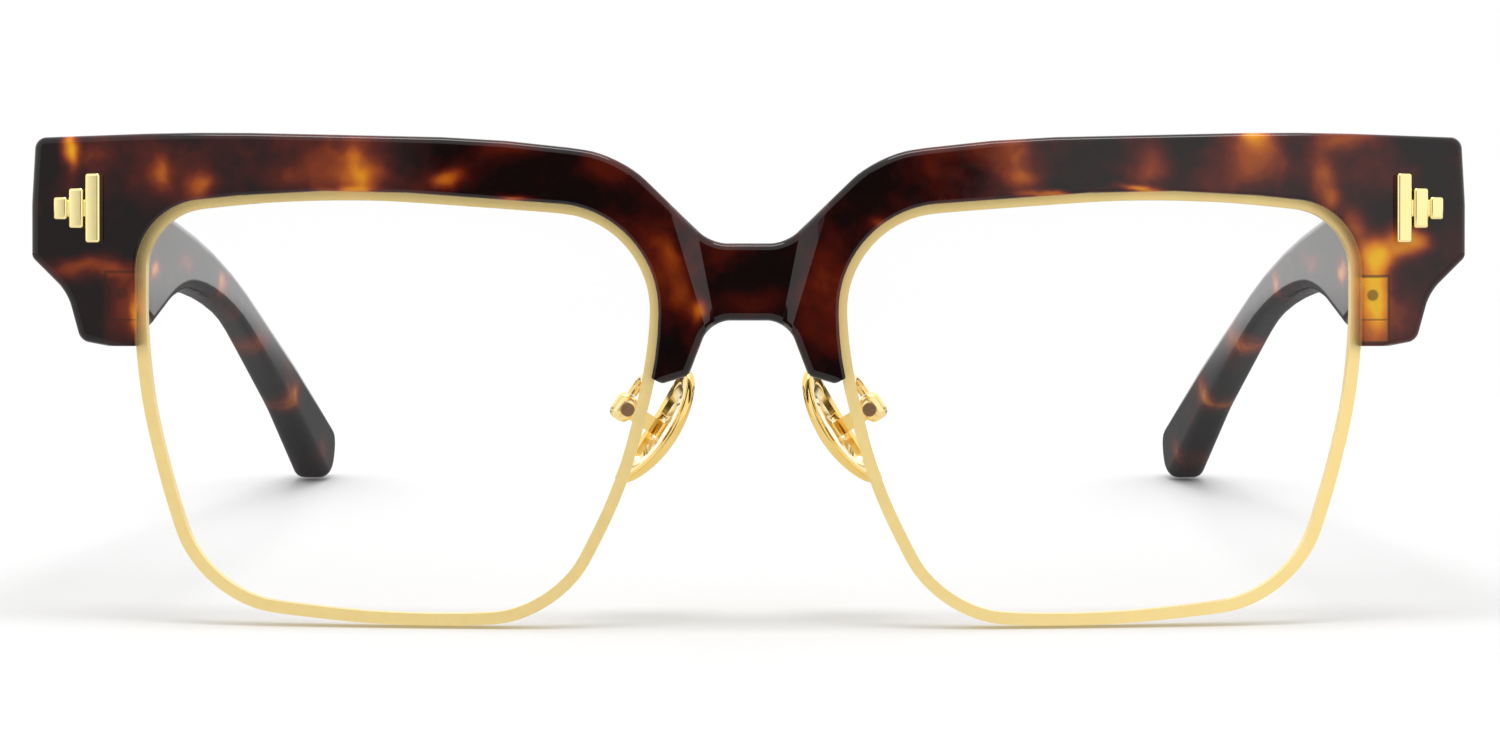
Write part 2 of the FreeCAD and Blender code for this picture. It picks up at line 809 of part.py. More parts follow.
lip_outline = offset_profile("lip_outline", rim_outline, "-sizes.lip_overlap")
lip_opening = front_prism("lip_opening", lip_outline)
rebate_outline = offset_profile("rebate_outline", rim_outline, "sizes.seat_gap")
rebate = common(
    "rebate",
    front_prism("rebate_prism", rebate_outline),
    front_solid("rebate_depth", "sizes.rim_setback - sizes.seat_gap"),
)
block_pocket = box("block_pocket", along(
    rim_outer_x - size("rim_wall"), block_front_y - seat_gap, end_drop_bottom_z - overrun,
))
block_pocket.Length = size("block_width") + size("rim_wall") + seat_gap
block_pocket.Width = front_reach
block_pocket.Height = size("block_height") + 2 * seat_gap + overrun
plate_pocket = box("plate_pocket", front_side.multiply(along(
    -half_web - seat_gap,
    -size("pivot_setback") - size("plate_thickness") - seat_gap,
    hinge_bottom_z - seat_gap,
)))
plate_pocket.Length = size("front_plate_width") + 2 * seat_gap
plate_pocket.Width = size("plate_thickness") + overrun
plate_pocket.Height = hinge_height + 2 * seat_gap
side_tools = fuse("side_tools", lip_opening, rebate, block_pocket, brow_hole, plaque_recess, plate_pocket)
brow_front = cut("brow_front", brow_blank, bridge_tool, side_tools, mirrored("side_tools_left", side_tools))

# Nose pad: a dished shell on a tongue, in a box that the arm carries
pad_turn = Rotation(BACK, -size("pad_frontal_angle")).multiply(Rotation(UP, -size("pad_splay_angle")))
pad_level_z = nasal_bottom_z - size("pad_drop")
pad_place = Placement(Vector(size("pad_spread") / 2, size("pad_setback"), pad_level_z), pad_turn)
pad_screw_place = pad_place.multiply(along(size("pad_stem")))
crosswise = Rotation(ACROSS, -90)


def pad_rod(name, start_y, radius_text, length_text):
    place = pad_screw_place.multiply(Placement(Vector(0, start_y, 0), crosswise))
    return cylinder(name, place, Radius=radius_text, Height=length_text)


pad_ellipse = bind(
    doc.addObject("Part::Ellipse", "pad_ellipse"),
    MajorRadius="sizes.pad_length / 2", MinorRadius="sizes.pad_width / 2",
)
pad_prism = extrusion("pad_prism", pad_ellipse, UP, size("pad_stem") + overrun)
pad_prism.Placement = pad_place.multiply(Placement(ACROSS * -overrun, Rotation(BACK, 90)))
dish_centre = pad_place.multVec(Vector(size("pad_dish_radius"), 0, 0))
pad_shell = common("pad_shell", pad_prism, cut(
    "pad_dish",
    sphere("pad_face", dish_centre, Radius="sizes.pad_dish_radius"),
    sphere("pad_hollow", dish_centre, Radius="sizes.pad_dish_radius - sizes.pad_thickness"),
))
half_tongue = size("tongue_thickness") / 2
tongue_start = size("pad_thickness") / 2
tongue_end = size("pad_stem") + size("tongue_height") / 2
tongue_half_height = size("tongue_height") / 2
pad_tongue_outline = profile("pad_tongue_outline", Part.Wire([
    Part.LineSegment(
        Vector(tongue_start, 0, -tongue_half_height), Vector(size("pad_stem"), 0, -tongue_half_height)
    ).toShape(),
    Part.Arc(
        Vector(size("pad_stem"), 0, -tongue_half_height),
        Vector(tongue_end, 0, 0),
        Vector(size("pad_stem"), 0, tongue_half_height),
    ).toShape(),
    Part.LineSegment(
        Vector(size("pad_stem"), 0, tongue_half_height), Vector(tongue_start, 0, tongue_half_height)
    ).toShape(),
    Part.LineSegment(
        Vector(tongue_start, 0, tongue_half_height), Vector(tongue_start, 0, -tongue_half_height)
    ).toShape(),
]))
pad_tongue = extrusion("pad_tongue", pad_tongue_outline, BACK, size("tongue_thickness"))
pad_tongue.Placement = pad_place.multiply(along(y=-half_tongue))
half_box = size("pad_box_width") / 2
pad_bore = pad_rod(
    "pad_bore", -half_box - overrun,
    "sizes.pad_screw_radius + sizes.running_gap", "sizes.pad_box_width + 2 * sizes.overrun",
)
nose_pad_right = cut("nose_pad_right", fuse("pad_blank", pad_shell, pad_tongue), pad_bore)
nose_pad_left = mirrored("nose_pad_left", nose_pad_right)

box_front_x = size("pad_stem") - size("pad_box_depth") / 2
pad_block = box(
    "pad_block",
    pad_place.multiply(along(box_front_x, -half_box, -size("pad_box_height") / 2)),
    Length="sizes.pad_box_depth", Width="sizes.pad_box_width", Height="sizes.pad_box_height",
)
tongue_slot = box(
    "tongue_slot",
    pad_place.multiply(along(
        box_front_x - overrun, -half_tongue - size("side_gap"), -size("pad_box_height"),
    )),
    Length="sizes.overrun + sizes.pad_box_depth / 2 + sizes.tongue_height / 2 + sizes.side_gap",
    Width="sizes.tongue_thickness + 2 * sizes.side_gap",
    Height="2 * sizes.pad_box_height",
)
pad_box_right = cut("pad_box_right", pad_block, tongue_slot, pad_bore)
pad_box_left = mirrored("pad_box_left", pad_box_right)
pad_screws = pair("pad_screws", fuse(
    "pad_screw",
    pad_rod("pad_shank", -half_box, "sizes.pad_screw_radius", "sizes.pad_box_width"),
    pad_rod(
        "pad_head", -half_box - size("pad_head_height"),
        "sizes.pad_head_radius", "sizes.pad_head_height",
    ),
))

# Pad arm: a bent wire from the rim's back to the top of the box
arm_foot = pad_place.multVec(Vector(size("pad_stem"), 0, size("pad_box_height") / 2))
arm_bend = pad_place.multVec(Vector(size("pad_stem"), 0, size("pad_box_height") / 2 + size("arm_rise")))
arm_root_z = nasal_bottom_z - size("arm_wire_radius") - size("side_gap")
nasal_upper, nasal_lower = rim_corners[3][0], rim_corners[4][0]
arm_fall = (nasal_upper.z - arm_root_z) / (nasal_upper.z - nasal_lower.z)
arm_root_x = nasal_upper.x + (nasal_lower.x - nasal_upper.x) * arm_fall + size("rim_wall") / 2
arm_root = Vector(arm_root_x, surface_y(arm_root_x, groove_middle), arm_root_z)
arm_corners = [(arm_root, 0), (arm_bend, size("arm_bend_radius")), (arm_foot, 0)]
arm_path = Part.Wire(rounded_edges(arm_corners, closed=False))
arm_ring = Part.Circle(arm_root, arm_bend - arm_root, size("arm_wire_radius")).toShape()
arm_wire = profile("arm_wire", arm_path.makePipe(Part.Face(Part.Wire(arm_ring))))
pad_arm_right = cut("pad_arm_right", arm_wire, rim_blank)
pad_arm_left = mirrored("pad_arm_left", pad_arm_right)

# Standing pose: rim bottoms and temple tips touch the ground together
tip_centre = corner_arc(top_edge[3], tip_bottom, under_edge[1], size("tip_radius"))[3]
tip_middle = Vector(temple_inside + size("tip_thickness") / 2, tip_centre.y, tip_centre.z)
tip_place = temple_side.multVec(tip_middle)
rim_lowest_x = rim_inner_x + size("rim_width") * rim_lowest_share
rim_foot_y = surface_y(rim_lowest_x, size("rim_setback") + size("rim_depth"))
tip_run = tip_place.y - rim_foot_y
tip_reach = math.hypot(tip_run, tip_place.z)
tilt = math.acos(size("tip_radius") / tip_reach) - math.atan2(tip_run, tip_place.z)
lean = Rotation(ACROSS, -math.degrees(tilt))

placed_directly = [
    brow_front, rim_right, lens_right, closing_upper_right, closing_lower_right, closing_screws, brow_screws,
    front_plaque_right, front_hinge_right, temple_hinge_right, hinge_screws, temple_right,
    nose_pad_right, pad_box_right, pad_screws, pad_arm_right,
]
mirror_images = [
    rim_left, lens_left, closing_upper_left, closing_lower_left, front_plaque_left, front_hinge_left,
    temple_hinge_left, temple_left, temple_core_left, nose_pad_left, pad_box_left, pad_arm_left,
]
nodes = placed_directly + [temple_core_right] + mirror_images
doc.recompute()

leaning = Part.makeCompound([brow_front.Shape, rim_right.Shape, temple_right.Shape]).copy()
leaning.Placement = Placement(Vector(), lean)
span = leaning.optimalBoundingBox(False, False)
stand = Placement(Vector(0, -(span.YMin + span.YMax) / 2, -span.ZMin), lean)
for item in placed_directly:
    item.Placement = stand
temple_core_right.Placement = stand.multiply(temple_core_right.Placement)
doc.recompute()

for item in doc.Objects:
    if "Invalid" in item.State or "Error" in item.State:
        raise RuntimeError(f"{item.Label} failed: {item.State}")
for item in nodes:
    if item.Shape.isNull() or not item.Shape.isValid():
        raise RuntimeError(f"{item.Label} has no valid shape")

os.makedirs("parts", exist_ok=True)
for item in nodes:
    item.Shape.exportStep(f"parts/{item.Label}.step")

whole = Part.makeCompound([item.Shape for item in nodes]).BoundBox
print(f"{len(nodes)} nodes, {whole.XLength:.2f} x {whole.YLength:.2f} x {whole.ZLength:.2f} mm")
print("tilt", round(math.degrees(tilt), 3), "lowest", round(whole.ZMin, 3))
print("hinge pivot", stand.multVec(pivot + UP * hinge_bottom_z), "axis", lean.multVec(UP))
print("pad pivot", stand.multVec(pad_screw_place.Base), "axis", lean.multVec(pad_turn.multVec(BACK)))
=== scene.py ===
# %% [markdown]
# # Browline glasses
# A browline frame has an acetate brow across the top, thin metal rims below it, metal plaques on
# the end pieces, and acetate temples on barrel hinges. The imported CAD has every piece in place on
# the body that moves it. This lesson models the pieces that show most once more, with rounded
# edges and a finish, and lets each one stand for its CAD node.

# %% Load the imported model
import json
import math
import bmesh
import bpy
from mathutils import Matrix, Vector


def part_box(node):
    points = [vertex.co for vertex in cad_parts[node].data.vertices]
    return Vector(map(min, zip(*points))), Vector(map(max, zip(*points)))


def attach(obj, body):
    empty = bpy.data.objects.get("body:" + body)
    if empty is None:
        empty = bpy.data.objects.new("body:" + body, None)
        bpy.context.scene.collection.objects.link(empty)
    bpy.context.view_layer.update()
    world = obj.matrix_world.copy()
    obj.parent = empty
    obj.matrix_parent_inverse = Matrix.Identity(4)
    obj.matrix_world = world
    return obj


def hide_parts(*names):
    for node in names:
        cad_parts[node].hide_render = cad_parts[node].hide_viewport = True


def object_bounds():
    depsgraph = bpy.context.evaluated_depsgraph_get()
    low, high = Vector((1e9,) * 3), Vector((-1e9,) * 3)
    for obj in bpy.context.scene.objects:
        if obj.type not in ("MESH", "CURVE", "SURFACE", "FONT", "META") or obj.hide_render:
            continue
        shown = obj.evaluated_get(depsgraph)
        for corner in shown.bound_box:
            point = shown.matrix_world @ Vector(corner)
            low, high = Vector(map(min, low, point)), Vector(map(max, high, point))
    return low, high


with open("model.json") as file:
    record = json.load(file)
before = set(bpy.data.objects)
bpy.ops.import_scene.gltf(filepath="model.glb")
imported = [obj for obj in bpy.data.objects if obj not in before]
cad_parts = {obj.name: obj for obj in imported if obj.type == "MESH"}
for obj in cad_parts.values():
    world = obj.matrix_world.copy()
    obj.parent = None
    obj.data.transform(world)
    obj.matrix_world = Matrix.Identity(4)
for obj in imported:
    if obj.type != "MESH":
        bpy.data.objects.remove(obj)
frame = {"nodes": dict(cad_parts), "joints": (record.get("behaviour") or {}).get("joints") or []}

mm = 0.001


def box_size(low, high):
    return [round((top - bottom) / mm, 2) for bottom, top in zip(low, high)]


scene = bpy.context.scene
cad_low, cad_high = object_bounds()
print("CAD box", box_size(cad_low, cad_high), "mm")

# %% [markdown]
# ## The front's own frame
# The glasses stand on the rims and the temple tips, so the front leans back a little. Leaning
# pieces are hard to draw, so each one is drawn upright in millimetres, with x across, y back and
# z up, and is stood up at the end. The lean is read from the hinge axis of the CAD joint, so the
# new pieces lean as the solids do.

# %% Stand
hinge_bottom = 38.615
hinge_mm = Vector((64.0277, 11.6716, hinge_bottom))
fold = next(joint for joint in frame["joints"] if joint["name"] == "temple_fold_right")
hinge_axis = Vector(fold["axis"])
hinge_place = Vector(fold["pos_m"])
lean_angle = math.atan2(hinge_axis.y, hinge_axis.z)
lean = Matrix.Rotation(-lean_angle, 4, "X")
stand = Matrix.Translation(hinge_place - lean @ (hinge_mm * mm)) @ lean @ Matrix.Scale(mm, 4)
print("lean", round(math.degrees(lean_angle), 2), "degrees")

# %% [markdown]
# ## A fleck of amber
# Tortoise sheet is cast from clear amber acetate with near-black brown poured through it. A fleck
# is a place where the amber lies deep. Flecks could be painted as a picture, which stretches over
# rounded edges. Here a fleck is a soft ellipse in Object coordinates, so it runs on through the
# sheet as a real one does, and one node group serves them all.

# %% Fleck


def node(tree, kind, *feeds, **values):
    made = tree.nodes.new(kind)
    for key, value in values.items():
        setattr(made, key, value)
    for socket, feed in zip(made.inputs, feeds):
        if isinstance(feed, (int, float, tuple)):
            socket.default_value = feed
        else:
            tree.links.new(feed, socket)
    return made


def math_node(tree, operation, *feeds):
    return node(tree, "ShaderNodeMath", *feeds, operation=operation).outputs[0]


def vector_node(tree, operation, *feeds):
    made = node(tree, "ShaderNodeVectorMath", *feeds, operation=operation)
    return made.outputs["Value" if operation == "LENGTH" else "Vector"]


fleck_group = bpy.data.node_groups.new("fleck", "ShaderNodeTree")
for socket_name in ("place", "centre", "shrink"):
    fleck_group.interface.new_socket(name=socket_name, in_out="INPUT", socket_type="NodeSocketVector")
fleck_group.interface.new_socket(name="strength", in_out="INPUT", socket_type="NodeSocketFloat")
fleck_group.interface.new_socket(name="amber", in_out="OUTPUT", socket_type="NodeSocketFloat")
given = node(fleck_group, "NodeGroupInput").outputs
fleck_away = vector_node(fleck_group, "SUBTRACT", given["place"], given["centre"])
fleck_shrunk = vector_node(fleck_group, "MULTIPLY", fleck_away, given["shrink"])
fleck_reach = vector_node(fleck_group, "LENGTH", fleck_shrunk)
fleck_square = math_node(fleck_group, "MULTIPLY", fleck_reach, fleck_reach)
fleck_soft = math_node(fleck_group, "EXPONENT", math_node(fleck_group, "MULTIPLY", fleck_square, -1.0))
node(fleck_group, "NodeGroupOutput", math_node(fleck_group, "MULTIPLY", fleck_soft, given["strength"]))
print("fleck group", len(fleck_group.nodes), "nodes")

# %% [markdown]
# ## Blocks behind the amber
# Where the sheet is clear amber, the closing block behind it shows through as a window with a dark
# border, the line where the block is split and the round head of a screw. Light could be traced
# through the sheet, which is slow and grainy. The lines are drawn in the acetate's material
# instead, at the block's own place, from distances to its middle, its split and its screw. Inside
# the window the amber is painted brighter, a painted glow for the block's shine coming through.

# %% Block windows
brow_depth = 5.0
window_edge = 0.10 * mm
border_line = (0.06 * mm, 0.22 * mm)
split_line = (0.03 * mm, 0.14 * mm)
split_strength = 0.8
screw_head = (0.45 * mm, 0.70 * mm)
screw_strength = 0.9
right_window = {
    "middle": (63.55, 32.15), "half": (1.65, 3.35), "screw": 33.6, "split": 31.1, "painted_glow": 0.24, "dark": 0.75,
}
left_window = {
    "middle": (-63.75, 32.35), "half": (1.75, 3.60), "screw": 33.8, "split": 31.1, "painted_glow": 0.04, "dark": 0.60,
}


def spread(tree, value, *limits):
    return node(tree, "ShaderNodeMapRange", value, *limits, interpolation_type="SMOOTHSTEP").outputs[0]


def apart(tree, value, place):
    return math_node(tree, "ABSOLUTE", math_node(tree, "SUBTRACT", value, place))


def window_lines(tree, place, window):
    x, z = window["middle"]
    half_width, half_height = window["half"]
    middle, screw, split = [
        stand @ Vector((x, brow_depth, height)) for height in (z, window["screw"], window["split"])]
    parts = node(tree, "ShaderNodeSeparateXYZ", place).outputs
    across = apart(tree, parts["X"], middle.x)
    past_side = math_node(tree, "SUBTRACT", across, half_width * mm)
    past_end = math_node(tree, "SUBTRACT", apart(tree, parts["Z"], middle.z), half_height * mm)
    past = math_node(tree, "MAXIMUM", past_side, past_end)
    inside = spread(tree, past, -window_edge, window_edge, 1.0, 0.0)
    border = spread(tree, math_node(tree, "ABSOLUTE", past), *border_line, 1.0, 0.0)
    level = apart(tree, parts["Z"], split.z)
    seam = math_node(tree, "MULTIPLY", inside, spread(tree, level, *split_line, split_strength, 0.0))
    rise = math_node(tree, "SUBTRACT", parts["Z"], screw.z)
    ring_square = math_node(
        tree, "ADD", math_node(tree, "MULTIPLY", across, across), math_node(tree, "MULTIPLY", rise, rise))
    ring = math_node(tree, "SQRT", ring_square)
    head = math_node(tree, "MULTIPLY", inside, spread(tree, ring, *screw_head, screw_strength, 0.0))
    return math_node(tree, "MAXIMUM", math_node(tree, "MAXIMUM", border, seam), head), inside


for window in (left_window, right_window):
    print("block window", [2 * half for half in window["half"]], "mm at x", window["middle"][0])

# %% [markdown]
# ## Depth to colour
# A little amber over dark brown looks red, and deep amber looks golden. So the colour of tortoise
# can be read off one number, the depth of the amber, by a ramp from near black over red brown to
# gold. Mixing finished colours would be shorter, but it would lose the red border that real
# tortoise has round each fleck.

# %% Acetate colours
acetate_stops = (
    (0.00, (0.0035, 0.0013, 0.0012)),
    (0.07, (0.0065, 0.0014, 0.0012)),
    (0.16, (0.0280, 0.0022, 0.0014)),
    (0.28, (0.0720, 0.0060, 0.0018)),
    (0.44, (0.1900, 0.0270, 0.0030)),
    (0.62, (0.4200, 0.0950, 0.0040)),
    (0.82, (0.6600, 0.2250, 0.0030)),
    (1.00, (0.7400, 0.4000, 0.0060)),
)


def material(name):
    paint = bpy.data.materials.new(name)
    paint.use_nodes = True
    return paint, paint.node_tree, paint.node_tree.nodes["Principled BSDF"]


def ramp(tree, value, stops):
    made = node(tree, "ShaderNodeValToRGB", value)
    band = made.color_ramp
    while len(band.elements) < len(stops):
        band.elements.new(0.5)
    for element, (place, colour) in zip(band.elements, stops):
        element.position = place
        element.color = (*colour, 1)
    return made.outputs[0]


print("acetate ramp", len(acetate_stops), "stops")

# %% [markdown]
# ## Tortoise acetate
# The dark mass of the sheet is a noise field, and a second noise frays the outlines of the flecks
# by nudging the place that they are measured from. Noise, flecks and the painted glow of the windows
# add up to the depth that the ramp colours, and the windows' lines are laid over it in dark brown. A
# fine noise in the gloss stands for the hand of the polish, which is never quite even.

# %% Tortoise
fray_grain = 240
fray_reach = 2.4 * mm
cloud_grain = 95
polish_grain = 900
polish_roughness = (0.05, 0.11)
noise_middle = (0.3, 0.7)
line_brown = (0.020, 0.006, 0.003)
acetate_ior = 1.48
acetate_shine = 0.40


def object_place(tree):
    return node(tree, "ShaderNodeTexCoord").outputs["Object"]


def noise(tree, vector, scale, detail=2.0, roughness=0.5):
    made = node(tree, "ShaderNodeTexNoise")
    made.inputs["Scale"].default_value = scale
    made.inputs["Detail"].default_value = detail
    made.inputs["Roughness"].default_value = roughness
    tree.links.new(vector, made.inputs["Vector"])
    return made.outputs


def tinted(tree, share, colour, other):
    mixed = node(tree, "ShaderNodeMix", data_type="RGBA")
    tree.links.new(share, mixed.inputs["Factor"])
    tree.links.new(colour, mixed.inputs["A"])
    mixed.inputs["B"].default_value = (*other, 1)
    return mixed.outputs["Result"]


def frayed(tree, place):
    fray = noise(tree, place, fray_grain)["Color"]
    centred = vector_node(tree, "SUBTRACT", fray, (0.5, 0.5, 0.5))
    nudge = vector_node(tree, "MULTIPLY", centred, (fray_reach, fray_reach, fray_reach))
    return vector_node(tree, "ADD", place, nudge)


def tortoise(name, flecks, stray, windows=()):
    paint, tree, skin = material(name)
    place = object_place(tree)
    warped = frayed(tree, place)
    clouds = noise(tree, warped, cloud_grain, detail=4.0, roughness=0.55)["Fac"]
    amber = spread(tree, clouds, *stray)
    for middle, sizes, strength in flecks:
        centre = tuple(stand @ Vector(middle))
        shrink = tuple(0 if size == 0 else 1 / (size * mm) for size in sizes)
        spot = node(tree, "ShaderNodeGroup", warped, centre, shrink, strength, node_tree=fleck_group)
        amber = math_node(tree, "ADD", amber, spot.outputs["amber"])
    shades = []
    for window in windows:
        lines, inside = window_lines(tree, place, window)
        # painted glow: the amber is made brighter inside each window, for the block's shine through it
        amber = math_node(tree, "ADD", amber, math_node(tree, "MULTIPLY", inside, window["painted_glow"]))
        shades.append(math_node(tree, "MULTIPLY", lines, window["dark"]))
    colour = ramp(tree, amber, acetate_stops)
    for shade in shades:
        colour = tinted(tree, shade, colour, line_brown)
    tree.links.new(colour, skin.inputs["Base Color"])
    polish = noise(tree, place, polish_grain)["Fac"]
    tree.links.new(spread(tree, polish, *noise_middle, *polish_roughness), skin.inputs["Roughness"])
    skin.inputs["IOR"].default_value = acetate_ior
    skin.inputs["Specular IOR Level"].default_value = acetate_shine
    print(name, len(flecks), "flecks,", len(tree.nodes), "nodes")
    return paint


# %% [markdown]
# ## Brow and temple sheet
# Brow and temples are cut from the same sheet, but each has its own flecks. On the brow the larger
# ones are set one by one where the photo has them, as x, z, half width, half height and strength,
# and go through the sheet from front to back; a strength below zero darkens. The thin entries along
# the lip's lower edge, with a half height under 0.7 mm, are painted highlights: glints of the gold
# rim mirrored in the lip. On the temples they are y, z, half length, half height and strength, and
# go through from side to side. Noise alone would be quicker, but it puts the bright flecks in the
# wrong places.

# %% Acetate
# the thin entries along the lip, half height under 0.7 mm, are painted glints: the gold rim mirrored in the
# lip
brow_flecks_and_glints = [
    (-69.3, 48.2, 0.75, 2.3, 0.85), (-66.6, 47.6, 2.2, 1.6, 0.20), (-59.2, 46.0, 1.1, 1.7, 0.40),
    (-60.8, 44.6, 2.2, 3.2, 0.16), (-55.2, 44.7, 1.7, 1.1, 0.36), (-53.0, 48.8, 4.0, 1.2, 0.10),
    (-46.4, 45.4, 3.2, 1.6, 0.22), (-40.4, 47.8, 3.6, 2.6, 0.26), (-39.0, 45.2, 2.0, 1.4, 0.46),
    (-40.0, 47.4, 1.1, 2.2, 0.22), (-30.4, 45.0, 1.9, 1.0, 0.50), (-28.2, 46.4, 3.0, 1.6, 0.12),
    (-24.0, 48.3, 3.2, 1.1, 0.26), (-14.6, 46.4, 2.6, 1.6, 0.24), (-9.5, 39.4, 1.6, 3.4, 0.06),
    (-7.9, 36.8, 0.8, 2.6, 0.18), (-6.8, 34.0, 1.0, 2.2, 0.26), (-5.0, 32.0, 0.8, 1.4, 0.48),
    (-2.4, 32.4, 3.6, 1.5, 0.06), (-67.2, 35.9, 4.6, 1.1, 0.42), (-63.6, 31.8, 1.8, 3.4, 0.28),
    (-62.5, 31.6, 0.55, 3.0, 0.24), (1.0, 33.0, 3.4, 1.2, 0.16), (7.2, 35.4, 1.4, 2.4, 0.05),
    (18.0, 47.2, 2.2, 2.0, 0.04), (27.2, 46.9, 3.0, 2.6, 0.28), (27.8, 45.2, 1.5, 1.2, 0.36),
    (40.7, 47.0, 1.9, 2.4, 0.36), (51.7, 49.3, 1.6, 1.2, 0.50), (51.2, 47.4, 3.2, 2.2, 0.22),
    (59.2, 42.8, 1.4, 1.5, 0.46), (58.1, 45.8, 1.5, 2.3, 0.26), (61.0, 49.2, 3.8, 1.2, 0.28),
    (61.8, 40.2, 1.4, 2.2, 0.46), (63.8, 37.0, 2.3, 1.6, 0.72), (67.2, 38.6, 2.4, 1.4, 0.80),
    (63.6, 32.6, 1.7, 4.0, 0.70), (67.0, 31.4, 2.0, 3.0, 0.12), (30.5, 43.6, 3.0, 0.45, 0.60),
    (39.8, 44.1, 2.4, 0.45, 0.60), (-40.5, 44.1, 2.5, 0.45, 0.40), (-24.2, 43.1, 2.2, 0.45, 0.50),
    (13.0, 40.7, 1.2, 0.6, 0.30), (-62.2, 31.0, 0.40, 3.0, 0.32), (-7.7, 29.6, 1.6, 2.6, -0.12),
]
temple_flecks = [
    (18, 41.0, 2.4, 2.6, 0.80), (30, 40.0, 3.0, 1.2, 1.24), (33, 36.4, 2.6, 1.2, 0.84),
    (49, 37.5, 5.0, 1.2, 0.40), (68, 35.4, 2.6, 1.4, 0.72), (90, 28.5, 6.0, 1.6, 0.40),
    (112, 22.0, 4.0, 2.0, 0.60), (131, 15.0, 3.0, 1.6, 0.36),
]
brow_stray = (0.40, 0.80, 0.02, 0.34)
temple_stray = (0.46, 0.78, 0.02, 0.40)
brow_acetate = tortoise(
    "acetate_tortoise_brow",
    [((x, 0, z), (width, 0, height), strength) for x, z, width, height, strength in brow_flecks_and_glints],
    brow_stray, (right_window, left_window))
temple_acetate = tortoise(
    "acetate_tortoise_temple",
    [((0, y, z), (0, length, height), strength) for y, z, length, height, strength in temple_flecks],
    temple_stray)

# %% [markdown]
# ## Metals
# Rims, plaques and pads are gold-plated alloy, each polished to its own degree, and the hinges stay
# a darker steel. Plating shows wear as changes of gloss more than of colour, so each metal has its
# own noise on roughness and a very low bump. Where a piece carries an attribute for a second colour,
# the gold shades into it there: inside the rims a painted shade, a thin dark line where the wire
# meets the lens, and in the pads a pale tray.

# %% Metals
patch_share = 0.25
wear_strength = 0.012
wear_height = 0.02 * mm


def metal(name, light, dark, roughness, grain, other=None):
    paint, tree, skin = material(name)
    place = object_place(tree)
    patches = noise(tree, place, grain * patch_share)["Fac"]
    colour = ramp(tree, patches, tuple(zip(noise_middle, (dark, light))))
    if other is not None:
        shade_and_tray = node(tree, "ShaderNodeAttribute", attribute_name="shade_and_tray").outputs["Fac"]
        colour = tinted(tree, shade_and_tray, colour, other)
    tree.links.new(colour, skin.inputs["Base Color"])
    wear = noise(tree, place, grain)["Fac"]
    tree.links.new(spread(tree, wear, *noise_middle, *roughness), skin.inputs["Roughness"])
    skin.inputs["Metallic"].default_value = 1.0
    bump = node(tree, "ShaderNodeBump")
    bump.inputs["Strength"].default_value = wear_strength
    bump.inputs["Distance"].default_value = wear_height
    tree.links.new(wear, bump.inputs["Height"])
    tree.links.new(bump.outputs[0], skin.inputs["Normal"])
    print(name, "roughness", roughness)
    return paint


# the rim's second colour is a painted shade: a thin dark line where the wire meets the lens
rim_gold = metal(
    "gold_rim", light=(1.00, 0.78, 0.345), dark=(0.98, 0.76, 0.325), roughness=(0.42, 0.47), grain=1400,
    other=(0.30, 0.20, 0.06))
plaque_gold = metal(
    "gold_plaque", light=(1.00, 0.86, 0.42), dark=(0.97, 0.81, 0.37), roughness=(0.11, 0.15), grain=900)
pad_gold = metal(
    "gold_pad", light=(0.93, 0.68, 0.24), dark=(0.86, 0.60, 0.18), roughness=(0.08, 0.13), grain=700,
    other=(0.96, 0.89, 0.68))
hinge_steel = metal(
    "hinge_metal", light=(0.62, 0.55, 0.44), dark=(0.50, 0.44, 0.36), roughness=(0.22, 0.36), grain=1200)
screw_steel = metal(
    "screw_metal", light=(0.74, 0.66, 0.50), dark=(0.60, 0.52, 0.40), roughness=(0.18, 0.30), grain=1800)
ball_gold = metal(
    "gold_ball", light=(1.00, 0.80, 0.38), dark=(0.97, 0.75, 0.33), roughness=(0.22, 0.30), grain=900)
# The pad screws are painted dark brown: painted shade for the dark hole round each screw in its ball.
pad_screw_shade_metal = metal(
    "pad_screw_painted_shade", light=(0.26, 0.15, 0.07), dark=(0.18, 0.10, 0.05), roughness=(0.26, 0.40), grain=1800)

# %% [markdown]
# ## Lens
# The lenses are clear plastic. Glass could be traced with refraction, but a thin lens hardly bends
# what lies behind it, and the tracing darkens it. So the lens is nearly see-through by its alpha,
# and shows more of its own surface where it is seen at a low angle.

# %% Lens
lens_grain = 60
lens_blue = (0.93, 0.95, 0.97)
lens_warm = (0.97, 0.97, 0.95)
lens_roughness = (0.02, 0.05)
lens_alpha = (0.012, 0.22)
lens_edge_blend = 0.12
lens_ior = 1.5
lens_clear, lens_tree, lens_skin = material("lens_clear")
lens_cloud = noise(lens_tree, object_place(lens_tree), lens_grain, detail=1.0)["Fac"]
lens_facing = node(lens_tree, "ShaderNodeLayerWeight", lens_edge_blend).outputs["Facing"]
lens_looks = {
    "Base Color": ramp(lens_tree, lens_cloud, tuple(zip(noise_middle, (lens_blue, lens_warm)))),
    "Roughness": spread(lens_tree, lens_cloud, *noise_middle, *lens_roughness),
    "Alpha": spread(lens_tree, lens_facing, 0.0, 1.0, *lens_alpha),
}
for socket_name, value in lens_looks.items():
    lens_tree.links.new(value, lens_skin.inputs[socket_name])
lens_skin.inputs["IOR"].default_value = lens_ior
print("lens alpha", lens_alpha[0], "face on,", lens_alpha[1], "at a low angle")

# %% [markdown]
# ## Outlines with rounded corners
# Rims, brow and temples are all cut to an outline. It could be typed as many points. Here it is a
# few corners, each with x, z and a radius, and a vertex bevel rounds the corner, as a maker files a
# template. So a corner stays one line to change. The rim's outline comes first, since the brow's
# openings are worked out from it.

